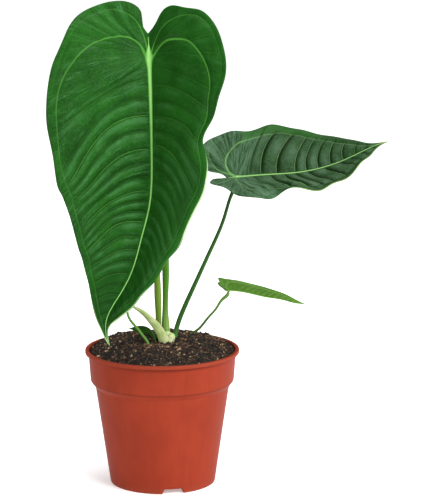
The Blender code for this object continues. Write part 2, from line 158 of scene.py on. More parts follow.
def lattice_noise(x: Array, y: Array, cell: float, seed: int) -> Array:
    """Value noise: random numbers on a square lattice, joined by smooth steps.

    Args:
        x: First coordinate.
        y: Second coordinate.
        cell: Lattice spacing, in the same unit.
        seed: Seed of the random numbers.

    Returns:
        Numbers from -1 to 1 with the shape of x.
    """
    table = np.random.default_rng(seed).uniform(-1, 1, (256, 256))
    gx, gy = x / cell, y / cell
    ix, iy = np.floor(gx).astype(int), np.floor(gy).astype(int)
    fx, fy = gx - ix, gy - iy
    fx, fy = fx * fx * (3 - 2 * fx), fy * fy * (3 - 2 * fy)
    a, b = table[ix % 256, iy % 256], table[(ix + 1) % 256, iy % 256]
    c, d = table[ix % 256, (iy + 1) % 256], table[(ix + 1) % 256, (iy + 1) % 256]
    return (a * (1 - fx) + b * fx) * (1 - fy) + (c * (1 - fx) + d * fx) * fy


def signed_distance(points: Array, line: Array) -> Tuple[Array, Array]:
    """Distance from flat points to a run of points, signed by its side.

    The nearest point of every segment is found by projection, the nearest
    segment wins, and the sign is that of the cross product with it.

    Args:
        points: Rows of two numbers.
        line: The run, as rows of two numbers.

    Returns:
        One signed distance for each point, and how far along the run its
        nearest place is.
    """
    start, step = line[:-1], np.diff(line, axis=0)
    size = (step ** 2).sum(1)
    rel = points[:, None, :] - start[None, :, :]
    t = np.clip((rel * step[None]).sum(2) / size[None], 0, 1)
    gap = rel - t[..., None] * step[None]
    far = (gap ** 2).sum(2)
    best = far.argmin(1)
    rows = np.arange(len(points))
    near = gap[rows, best]
    way = step[best]
    side = np.sign(way[:, 0] * near[:, 1] - way[:, 1] * near[:, 0])
    place = chord(line)[best] + t[rows, best] * np.sqrt(size[best])
    return np.sqrt(far[rows, best]) * np.where(side == 0, 1, side), place


# -------------------------------------------------------------------- meshes


def grid_quads(rows: int, columns: int, close: bool = False, start: int = 0) -> Array:
    """Quads over a grid of points.

    Args:
        rows: Number of rows.
        columns: Number of points in each row.
        close: Whether each row is a ring.
        start: Index of the first point.

    Returns:
        Rows of four indices.
    """
    last = columns if close else columns - 1
    i, j = np.meshgrid(np.arange(rows - 1), np.arange(last), indexing="ij")
    k = (j + 1) % columns
    quads = np.stack([i * columns + j, i * columns + k, (i + 1) * columns + k,
                      (i + 1) * columns + j], -1)
    return quads.reshape(-1, 4) + start


def tube_faces(rings: int, sides: int) -> List[Sequence[int]]:
    """Faces of a closed tube: quads round its wall and one face at each end.

    Args:
        rings: Rings of points along it.
        sides: Points in a ring.

    Returns:
        The faces, as numbers of points.
    """
    faces: List[Sequence[int]] = list(grid_quads(rings, sides, close=True))
    faces.append(tuple(range(sides)))
    faces.append(tuple(range((rings - 1) * sides, rings * sides)))
    return faces


@dataclass
class Shape:
    """Points, faces and per-point numbers of one mesh, in millimetres."""

    points: Array
    faces: List[Sequence[int]]
    numbers: Dict[str, Array] = field(default_factory=dict)
    corners: Optional[Array] = None

    @staticmethod
    def joined(shapes: Sequence["Shape"]) -> "Shape":
        """One shape holding several, with the numbers they share.

        Args:
            shapes: The shapes, in order.

        Returns:
            The shape.
        """
        faces: List[Sequence[int]] = []
        start = 0
        for shape in shapes:
            faces += [tuple(int(i) + start for i in face) for face in shape.faces]
            start += len(shape.points)
        names = set(shapes[0].numbers).intersection(*(s.numbers for s in shapes))
        numbers = {n: np.concatenate([s.numbers[n] for s in shapes]) for n in sorted(names)}
        return Shape(np.concatenate([s.points for s in shapes]), faces, numbers)


def make_piece(name: str, shape: Shape, material: bpy.types.Material,
               replaces: Sequence[str] = (), weld: float = 0.002,
               smooth: bool = True, turn_out: bool = True) -> bpy.types.Object:
    """Write a shape into a mesh object that rides on the plant.

    Args:
        name: Name of the piece.
        shape: Its points, faces and numbers.
        material: Its material.
        replaces: CAD nodes it stands for.
        weld: Points closer than this, in millimetres, become one.
        smooth: Whether its faces are shaded smooth.
        turn_out: Whether its faces are turned outward.

    Returns:
        The object.
    """
    mesh = bpy.data.meshes.new(name)
    mesh.from_pydata((shape.points * MM).tolist(), [], [tuple(map(int, f)) for f in shape.faces])
    for key, values in shape.numbers.items():
        layer = mesh.attributes.new(key, "FLOAT", "POINT")
        layer.data.foreach_set("value", np.asarray(values, np.float32).ravel())
    if shape.corners is not None:
        layer = mesh.uv_layers.new(name="OFBake")
        layer.data.foreach_set("uv", np.asarray(shape.corners, np.float32).ravel())
    bm = bmesh.new()
    bm.from_mesh(mesh)
    if weld > 0:
        bmesh.ops.remove_doubles(bm, verts=bm.verts, dist=weld * MM)
        bmesh.ops.dissolve_degenerate(bm, edges=bm.edges, dist=0.0005 * MM)
    if turn_out:
        bmesh.ops.recalc_face_normals(bm, faces=bm.faces)
    bm.to_mesh(mesh)
    bm.free()
    mesh.polygons.foreach_set("use_smooth", np.full(len(mesh.polygons), smooth))
    mesh.materials.append(material)
    obj = bpy.data.objects.new(name, mesh)
    bpy.context.scene.collection.objects.link(obj)
    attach(obj, BODY)
    if replaces:
        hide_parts(*replaces)
    LOG.info("%s: %d points, %d faces", name, len(mesh.vertices), len(mesh.polygons))
    return obj


@dataclass
class Track:
    """A smooth run of points with a frame at close steps along it."""

    knots: Sequence[Point]
    across: Point = (0.0, 1.0, 0.0)
    steps: int = 400

    def __post_init__(self) -> None:
        """Carry the across direction along the run, kept square to it."""
        knots = np.asarray(self.knots, float)
        at = chord(knots)
        self.marks: Array = at / at[-1]
        fine = np.linspace(0, at[-1], self.steps + 1)
        self.middle: Array = spline(at, knots, fine)
        self.share: Array = fine / at[-1]
        self.length: float = float(chord(self.middle)[-1])
        self.along: Array = unit(np.gradient(self.middle, axis=0))
        given = np.asarray(self.across, float)
        self.side: Array = unit(given - self.along * (self.along @ given)[:, None])
        self.other: Array = np.cross(self.along, self.side)

    def read(self, table: Array, at: Array) -> Array:
        """Rows of a table at shares of the run."""
        return np.stack([np.interp(at, self.share, table[:, i]) for i in range(3)], -1)

    def sizes(self, values: Sequence[float], at: Array) -> Array:
        """Sizes given at the knots, carried smoothly between them."""
        return spline(self.marks, np.asarray(values, float), at)[:, 0]

    def sweep(self, at: Array, turn: Array, wide: Array, deep: Array) -> Array:
        """Points of an elliptical tube: middle + side w cos + other d sin.

        Args:
            at: Shares of the run, one for each ring.
            turn: Angles round a ring.
            wide: Half widths, rings by angles.
            deep: Half depths, rings by angles.

        Returns:
            Rings by angles by three.
        """
        middle = self.read(self.middle, at)[:, None, :]
        side = self.read(self.side, at)[:, None, :]
        other = self.read(self.other, at)[:, None, :]
        return middle + side * (wide * np.cos(turn))[..., None] \
            + other * (deep * np.sin(turn))[..., None]


# ----------------------------------------------------------------- materials

Value = Union["Sock", float, int]


class Sock:
    """An output of a material's node, with arithmetic that adds Math nodes."""

    def __init__(self, graph: "Graph", socket: bpy.types.NodeSocket) -> None:
        """Hold the socket and the graph it is in."""
        self.graph = graph
        self.socket = socket

    def _math(self, kind: str, *values: Value) -> "Sock":
        """A Math node on the values given."""
        return self.graph.maths(kind, *values)

    def __add__(self, other: Value) -> "Sock":
        """Sum."""
        return self._math("ADD", self, other)

    __radd__ = __add__

    def __sub__(self, other: Value) -> "Sock":
        """Difference."""
        return self._math("SUBTRACT", self, other)

    def __rsub__(self, other: Value) -> "Sock":
        """Difference, with this value taken away."""
        return self._math("SUBTRACT", other, self)

    def __mul__(self, other: Value) -> "Sock":
        """Product."""
        return self._math("MULTIPLY", self, other)

    __rmul__ = __mul__

    def __truediv__(self, other: Value) -> "Sock":
        """Quotient."""
        return self._math("DIVIDE", self, other)

    def __abs__(self) -> "Sock":
        """Size without sign."""
        return self._math("ABSOLUTE", self)

    def fraction(self) -> "Sock":
        """What is left above the whole number."""
        return self._math("FRACT", self)

    def most(self, other: Value) -> "Sock":
        """The larger of two."""
        return self._math("MAXIMUM", self, other)

    def band(self, low: float, high: float, to_low: float = 0.0, to_high: float = 1.0) -> "Sock":
        """Smooth step from one number at low to another at high.

        Args:
            low: Where the step begins.
            high: Where it ends.
            to_low: Number before it.
            to_high: Number after it.

        Returns:
            The stepped number.
        """
        node = self.graph.node("ShaderNodeMapRange", {"interpolation_type": "SMOOTHSTEP"},
                               {"Value": self, "From Min": low, "From Max": high,
                                "To Min": to_low, "To Max": to_high})
        return Sock(self.graph, node.outputs["Result"])


class Graph:
    """The node tree of one material, ending in a Principled shader."""

    def __init__(self, name: str, roughness: float = 0.5, **constant: float) -> None:
        """Start a material.

        Args:
            name: Name of the material.
            roughness: Roughness where nothing is linked.
            constant: Shader sockets by name, spaces as underscores.
        """
        self.material = bpy.data.materials.new(name)
        self.material.use_nodes = True
        self.tree = self.material.node_tree
        self.shader = self.tree.nodes["Principled BSDF"]
        self.shader.inputs["Roughness"].default_value = roughness
        for key, value in constant.items():
            self.shader.inputs[key.replace("_", " ")].default_value = value

    def node(self, kind: str, settings: Optional[Dict[str, Any]] = None,
             sockets: Optional[Dict[Union[str, int], Any]] = None) -> bpy.types.Node:
        """Add a node.

        Args:
            kind: Node type.
            settings: Attributes, set first; "stops" fills a colour ramp.
            sockets: Inputs by name or number, as numbers, colours or links.

        Returns:
            The node.
        """
        node = self.tree.nodes.new(kind)
        for key, value in (settings or {}).items():
            if key == "stops":
                ramp = node.color_ramp
                while len(ramp.elements) < len(value):
                    ramp.elements.new(0.5)
                for element, (place, colour) in zip(ramp.elements, value):
                    element.position = place
                    element.color = (*colour, 1.0)
            else:
                setattr(node, key, value)
        for key, value in (sockets or {}).items():
            self.feed(node.inputs[key], value)
        return node

    def feed(self, socket: bpy.types.NodeSocket, value: Any) -> None:
        """Link or set one input.

        Args:
            socket: The input.
            value: A Sock to link, or a number, colour or vector to set.
        """
        if isinstance(value, Sock):
            self.tree.links.new(value.socket, socket)
        elif isinstance(value, (tuple, list)) and socket.type == "RGBA" and len(value) == 3:
            socket.default_value = (*value, 1.0)
        else:
            socket.default_value = value

    def maths(self, kind: str, *values: Value) -> Sock:
        """A Math node."""
        node = self.node("ShaderNodeMath", {"operation": kind}, dict(enumerate(values)))
        return Sock(self, node.outputs[0])

    def vector(self, kind: str, *values: Any) -> Sock:
        """A Vector Math node."""
        node = self.node("ShaderNodeVectorMath", {"operation": kind}, dict(enumerate(values)))
        return Sock(self, node.outputs[0])

    def place(self, stretch: Point = (1.0, 1.0, 1.0)) -> Sock:
        """Object coordinates in metres, scaled along each axis."""
        node = self.node("ShaderNodeTexCoord")
        return self.vector("MULTIPLY", Sock(self, node.outputs["Object"]), stretch)

    def number(self, name: str) -> Sock:
        """A number kept at the piece's points."""
        node = self.node("ShaderNodeAttribute", {"attribute_name": name})
        return Sock(self, node.outputs["Fac"])

    def pair(self, first: Value, second: Value, third: Value = 0.0) -> Sock:
        """Three numbers as one vector."""
        node = self.node("ShaderNodeCombineXYZ", None, {0: first, 1: second, 2: third})
        return Sock(self, node.outputs[0])

    def noise(self, at: Sock, scale: float, detail: float = 3.0, rough: float = 0.5) -> Sock:
        """Cloudy numbers round a half."""
        node = self.node("ShaderNodeTexNoise", None,
                         {"Vector": at, "Scale": scale, "Detail": detail, "Roughness": rough})
        return Sock(self, node.outputs["Fac"])

    def cells(self, at: Sock, scale: float, feature: str = "F1") -> Sock:
        """Distance to the nearest cell's middle, or to the nearest border."""
        node = self.node("ShaderNodeTexVoronoi", {"feature": feature},
                         {"Vector": at, "Scale": scale})
        return Sock(self, node.outputs["Distance"])

    def mix(self, share: Value, low: Any, high: Any) -> Sock:
        """One colour going over to another."""
        node = self.node("ShaderNodeMix", {"data_type": "RGBA"}, {0: share, 6: low, 7: high})
        return Sock(self, node.outputs[2])

    def ramp(self, at: Value, stops: Sequence[Tuple[float, Colour]]) -> Sock:
        """Colours in order along a number."""
        node = self.node("ShaderNodeValToRGB", {"stops": list(stops)}, {"Fac": at})
        return Sock(self, node.outputs["Color"])

    def bump(self, height: Sock, depth: float, strength: float) -> Sock:
        """Relief from a height whose unit is a depth in millimetres."""
        node = self.node("ShaderNodeBump", None,
                         {"Height": height, "Distance": depth * MM, "Strength": strength})
        return Sock(self, node.outputs["Normal"])

    def finish(self, **inputs: Any) -> bpy.types.Material:
        """Link the shader's inputs and hand back the material.

        Args:
            inputs: Shader sockets by name, spaces as underscores.

        Returns:
            The material.
        """
        for key, value in inputs.items():
            self.feed(self.shader.inputs[key.replace("_", " ")], value)
        return self.material


@dataclass(frozen=True)
class LeafFinish:
    """Waxy leaf: upper and under colours, veins, painted sheen and shade, and how it shines."""

    name: str
    deep: Colour
    fresh: Colour
    # Colour of the painted sheen.
    sheen: Colour
    vein: Colour
    rib: Colour
    under: Colour
    under_vein: Colour
    rim: Colour
    tip: Colour
    vein_strength: float = 0.6
    roughness: float = 0.38
    network: float = 0.5
    gloss: float = 0.07
    sheen_share: float = 0.75
    sheen_from: Pair = (0.02, 0.22)
    sheen_to: Pair = (0.30, 0.62)
    shade_from: Pair = (0.55, 0.97)
    shade_to: Pair = (1.1, 1.2)
    shade_share: float = 0.45
    tip_shade: float = 0.45
    # Colour of the painted light on the turned-up margin.
    strip: Colour = (0.016, 0.130, 0.012)
    lit_strip_share: float = 0.45
    pale: Colour = (0.40, 0.58, 0.26)
    sheen_patches: float = 1.0
    tip_from: float = 0.955
    right_calm_and_shade: float = 0.0
    sheen_and_shade_streaks: float = 0.5
    lobe_sheen: float = 0.0

    def material(self) -> bpy.types.Material:
        """Build it from the numbers kept at the leaf's points.

        Returns:
            The material.
        """
        g = Graph(self.name, Specular_IOR_Level=self.gloss)
        place = g.place()
        under = g.number("under")
        rib = g.number("rib")
        rib_width = g.number("rib_width")
        edge = g.number("edge")
        phase = g.number("lateral")
        pitch = g.number("pitch")
        shown = g.number("lateral_shown")
        along = g.number("along")
        flat = g.pair(g.number("flat_a"), g.number("flat_b"))

        wander = g.noise(place, 420.0, 2.0) - 0.5
        near = (0.5 - abs((phase + wander * 0.10).fraction() - 0.5)) * pitch
        lateral = near.band(0.10, 0.62, 1.0, 0.0) * shown * g.number("force")
        groove = near.band(0.2, 1.9, 1.0, 0.0) * shown
        inner = abs(g.number("vein_inner")) / g.number("inner_width")
        outer = abs(g.number("vein_outer")) / g.number("outer_width")
        basal = (inner.band(0.35, 1.0, 1.0, 0.0) * g.number("inner_force")).most(
            outer.band(0.3, 1.0, 1.0, 0.0) * g.number("outer_force"))
        ribs = (rib / rib_width).band(0.78, 1.08, 1.0, 0.0)
        core = (rib / rib_width).band(0.30, 0.98, 1.0, 0.0)

        fine = g.cells(g.vector("ADD", g.vector("MULTIPLY", flat, (0.30, 0.62, 1.0)),
                                g.pair(wander * 0.9, wander * 0.9)), 1.0, "DISTANCE_TO_EDGE")
        small = g.cells(g.vector("MULTIPLY", flat, (1.5, 1.7, 1.0)), 1.0, "DISTANCE_TO_EDGE")
        net = fine.band(0.0, 0.09, 1.0, 0.0)
        mesh = small.band(0.0, 0.16, 1.0, 0.0)

        cloud = g.noise(place, 28.0, 4.0, 0.6)
        speck = g.noise(place, 1500.0, 2.0, 0.7)
        body = g.mix(cloud.band(0.32, 0.68), self.deep, self.fresh)
        beat = (phase + wander * 0.12).fraction()
        patch = g.noise(g.vector("MULTIPLY", flat, (0.022, 0.030, 1.0)), 1.0, 3.0, 0.6)
        # Painted sheen on the swellings between the side veins.
        puff = beat.band(*self.sheen_from) * beat.band(*self.sheen_to, 1.0, 0.0)
        body = g.mix(puff * shown * patch.band(0.36, 0.62) * self.sheen_share, body, self.sheen)
        # Painted sheen in patches and fine glints, scaled by sheen_patches; the darker mottling is
        # the leaf's own tone.
        mottle = g.noise(g.vector("MULTIPLY", flat, (0.45, 0.30, 1.0)), 1.0, 4.0, 0.75)
        body = g.mix(mottle.band(0.50, 0.72) * (0.40 * self.sheen_patches), body, self.sheen)
        body = g.mix(mottle.band(0.26, 0.46, 1.0, 0.0) * 0.45, body, self.deep)
        body = g.mix(speck.band(0.48, 0.66) * (0.18 * self.sheen_patches), body, self.sheen)
        body = g.mix(net * self.network * 0.30, body, self.vein)
        body = g.mix(mesh * self.network * 0.10, body, self.vein)
        # Painted light by halves: the left half gets painted sheen streaks with painted dark
        # streaks between them, and right_calm_and_shade calms these on the right half.
        left = g.number("flat_b").band(-3.0, 3.0, 1.0, 1.0 - self.right_calm_and_shade)
        lines = g.noise(g.pair(phase * 5.0, g.number("flat_a") * 0.035,
                               g.number("flat_b") * 0.05), 1.0, 5.0, 0.8)
        body = g.mix(lines.band(0.53, 0.70) * left * self.sheen_and_shade_streaks, body, self.sheen)
        body = g.mix(lines.band(0.30, 0.46, 1.0, 0.0) * left * self.sheen_and_shade_streaks, body, self.deep)
        # Painted sheen on the lobe, in streaks.
        body = g.mix(g.number("lobe") * lines.band(0.38, 0.62) * self.lobe_sheen, body,
                     tuple(1.7 * c for c in self.sheen))
        # Painted shade: the right half, turned away from the lamps, is darkened towards the deep
        # green.
        body = g.mix((1.0 - left) * 0.75, body, self.deep)
        # Painted shade on the side of each swelling that faces away from the lamps.
        dark = tuple(0.40 * c for c in self.deep)
        shade = beat.band(*self.shade_from) * beat.band(*self.shade_to, 1.0, 0.0)
        body = g.mix(shade * shown * left * self.shade_share, body, dark)
        body = g.mix(along.band(0.55, 0.92) * self.tip_shade, body, self.deep)
        # Painted shade in the grooves beside the side veins.
        body = g.mix(groove * 0.45, body, dark)
        body = g.mix(lateral * self.vein_strength, body, self.vein)
        body = g.mix(basal * 0.88, body, self.vein)
        # Painted light on the turned-up margin.
        body = g.mix(g.number("strip") * self.lit_strip_share, body, self.strip)
        body = g.mix(edge.band(0.15, 0.75, 1.0, 0.0) * 0.85, body, self.rim)
        body = g.mix(edge.band(0.6, 1.1, 1.0, 0.0) * g.number("pale_rim"), body, self.pale)
        body = g.mix(along.band(self.tip_from, 0.995), body, self.tip)
        body = g.mix(ribs, body, g.mix(core, self.vein, self.rib))

        below = g.mix(cloud.band(0.3, 0.7), self.under,
                      tuple(min(1.0, c * 1.25) for c in self.under))
        below = g.mix(mesh * 0.25, below, self.under_vein)
        below = g.mix(net * 0.35, below, self.under_vein)
        below = g.mix(near.band(0.2, 1.0, 1.0, 0.0) * shown * 0.8, below, self.under_vein)
        below = g.mix(basal, below, self.under_vein)
        below = g.mix(ribs, below, self.rib)
        colour = g.mix(under.band(0.45, 0.55), body, below)

        rough = self.roughness + (g.noise(place, 160.0, 3.0) - 0.5) * 0.22 + mesh * 0.05 \
            + ribs * 0.08 + under * 0.14
        relief = (1.0 - net) * 0.5 + (1.0 - mesh) * 0.22 + speck * 0.25 - lateral * 0.9
        normal = g.bump(relief, 0.16, 0.75)
        return g.finish(Base_Color=colour, Roughness=rough, Normal=normal)


@dataclass(frozen=True)
class StemFinish:
    """Green stem with fine lines along it, paler low down."""

    name: str
    low: Colour
    mid: Colour
    high: Colour
    streak: Colour
    roughness: float = 0.36
    pale_from: float = 0.0
    pale_to: float = 0.16

    def material(self) -> bpy.types.Material:
        """Build it from the share along the stem and the turn round it.

        Returns:
            The material.
        """
        g = Graph(self.name, Specular_IOR_Level=0.08)
        along = g.number("along")
        ring = g.pair(g.number("round_x"), g.number("round_y"), along)
        lines = g.noise(g.vector("MULTIPLY", ring, (5.0, 5.0, 3.0)), 2.2, 4.0, 0.65)
        threads = g.noise(g.vector("MULTIPLY", ring, (16.0, 16.0, 5.0)), 1.6, 2.0, 0.6)
        place = g.place()
        blotch = g.noise(place, 90.0, 3.0, 0.6)
        body = g.mix(along.band(0.3, 1.0), self.mid, self.high)
        body = g.mix(along.band(self.pale_from, self.pale_to, 1.0, 0.0), body, self.low)
        body = g.mix(lines.band(0.38, 0.66) * 0.55, body, self.streak)
        body = g.mix(threads.band(0.5, 0.72) * 0.35, body, self.low)
        body = g.mix(blotch.band(0.45, 0.75) * 0.3, body, self.mid)
        dots = g.cells(place, 900.0).band(0.1, 0.3, 1.0, 0.0)
        body = g.mix(dots * 0.18, body, self.low)
        rough = self.roughness + (blotch - 0.5) * 0.25
        normal = g.bump(lines * 0.7 + threads * 0.5 + dots * 0.15, 0.12, 0.6)
        return g.finish(Base_Color=body, Roughness=rough, Normal=normal)


@dataclass(frozen=True)
class SheathFinish:
    """Papery sheath or pale crown tissue, ribbed along its length."""

    name: str
    pale: Colour
    green: Colour
    dry: Colour
    roughness: float = 0.48

    def material(self) -> bpy.types.Material:
        """Build it from the share along it and the place across it.

        Returns:
            The material.
        """
        g = Graph(self.name, Specular_IOR_Level=0.4)
        along = g.number("along")
        across = g.number("across")
        place = g.place()
        ribs = g.noise(g.pair(across * 9.0, along * 0.9), 2.0, 3.0, 0.6)
        cloud = g.noise(place, 160.0, 4.0, 0.6)
        body = g.mix(cloud.band(0.35, 0.65), self.green, self.pale)
        body = g.mix(ribs.band(0.4, 0.62) * 0.6, body, self.green)
        body = g.mix(across.band(0.62, 0.98) * cloud.band(0.35, 0.6), body, self.dry)
        body = g.mix(along.band(0.0, 0.22, 1.0, 0.0) * 0.8, body, self.pale)
        fibre = g.noise(place, 1300.0, 2.0, 0.6)
        body = g.mix(fibre.band(0.5, 0.7) * 0.3, body, self.dry)
        normal = g.bump(ribs + fibre * 0.3, 0.22, 0.7)
        return g.finish(Base_Color=body, Roughness=self.roughness + (cloud - 0.5) * 0.2,
                        Normal=normal)


@dataclass(frozen=True)
class PotFinish:
    """Moulded terracotta-coloured plastic with dust, scuffs, flow marks and painted shadow lines
    under the collar and the lip.
    """

    name: str = "pot_plastic"
    clay: Colour = (0.248, 0.0305, 0.0132)
    warm: Colour = (0.292, 0.0375, 0.0158)
    dull: Colour = (0.218, 0.0285, 0.0132)
    dust: Colour = (0.28, 0.085, 0.050)

    def material(self) -> bpy.types.Material:
        """Build it from Object coordinates, the worn marks and the painted shadow lines.

        Returns:
            The material.
        """
        g = Graph(self.name, Specular_IOR_Level=0.05)
        place = g.place()
        cloud = g.noise(place, 22.0, 4.0, 0.6)
        flow = g.noise(g.place((1.0, 1.0, 0.12)), 120.0, 3.0, 0.5)
        grain = g.noise(place, 1800.0, 2.0, 0.6)
        specks = g.cells(place, 420.0).band(0.03, 0.10, 1.0, 0.0) * \
            g.noise(place, 40.0).band(0.5, 0.62)
        scuff = g.noise(g.place((1.0, 1.0, 0.35)), 260.0, 3.0, 0.7).band(0.60, 0.74)
        worn = g.number("worn")
        body = g.mix(cloud.band(0.3, 0.7), self.clay, self.warm)
        body = g.mix(flow.band(0.42, 0.66) * 0.35, body, self.dull)
        body = g.mix(grain.band(0.45, 0.7) * 0.18, body, self.dull)
        body = g.mix(scuff * 0.10 + worn * grain.band(0.4, 0.6) * 0.35, body, self.dust)
        body = g.mix(specks * 0.35, body, (0.12, 0.035, 0.022))
        # Painted shadow: a dark line just under the collar's foot and a fainter one under the lip.
        body = g.mix(g.number("seam") * 0.75, body, (0.085, 0.014, 0.008))
        rough = 0.50 + (cloud - 0.5) * 0.14 + scuff * 0.10 + (grain - 0.5) * 0.10
        normal = g.bump(grain * 0.5 + g.noise(place, 330.0, 2.0) + flow * 0.8, 0.07, 0.6)
        return g.finish(Base_Color=body, Roughness=rough, Normal=normal)


@dataclass(frozen=True)
class SoilFinish:
    """Damp peat: near-black hollows, brown crumbs and a few tan bits."""

    name: str
    dark: Colour = (0.006, 0.0038, 0.0026)
    brown: Colour = (0.036, 0.019, 0.011)
    red: Colour = (0.150, 0.064, 0.030)
    tan: Colour = (0.36, 0.25, 0.14)

    def material(self) -> bpy.types.Material:
        """Build it from Object coordinates and each crumb's own tone.

        Returns:
            The material.
        """
        g = Graph(self.name, Specular_IOR_Level=0.35)
        place = g.place()
        tone = g.number("tone")
        fine = g.noise(place, 900.0, 3.0, 0.7)
        lump = g.noise(place, 260.0, 3.0, 0.6)
        shade = tone + (fine - 0.5) * 0.55 + (lump - 0.5) * 0.25
        body = g.ramp(shade, [(0.0, self.dark), (0.34, self.dark), (0.52, self.brown),
                              (0.72, self.red), (0.95, self.tan)])
        rough = 0.86 + (fine - 0.5) * 0.2
        normal = g.bump(fine + lump * 0.6, 0.5, 0.8)
        return g.finish(Base_Color=body, Roughness=rough, Normal=normal)


@dataclass(frozen=True)
class FloorFinish:
    """Pale studio floor."""

    name: str = "pale_floor"
    colour: Colour = (0.92, 0.92, 0.92)

    def material(self) -> bpy.types.Material:
        """Build it with a faint cloud, and a glow that grows towards the back.

        Returns:
            The material.
        """
        g = Graph(self.name, roughness=0.9, Specular_IOR_Level=0.1, Emission_Strength=1.0)
        place = g.place()
        cloud = g.noise(place, 3.0, 3.0)
        split = g.node("ShaderNodeSeparateXYZ", None, {0: place})
        back = Sock(g, split.outputs["Y"]).band(-0.35, 0.9, 0.30, 1.0)
        glow = g.mix(back, (0.0, 0.0, 0.0), self.colour)
        body = g.mix(cloud.band(0.3, 0.7), self.colour, tuple(c * 0.985 for c in self.colour))
        return g.finish(Base_Color=body, Emission_Color=glow)


# -------------------------------------------------------------------- leaves


def smooth_run(line: Sequence[Pair]) -> Array:
    """Points at even steps of a smooth curve through the given ones."""
    knots = np.asarray(line, float)
    t = chord(knots)
    return spline(t, knots, np.linspace(0, t[-1], VEIN_POINTS))


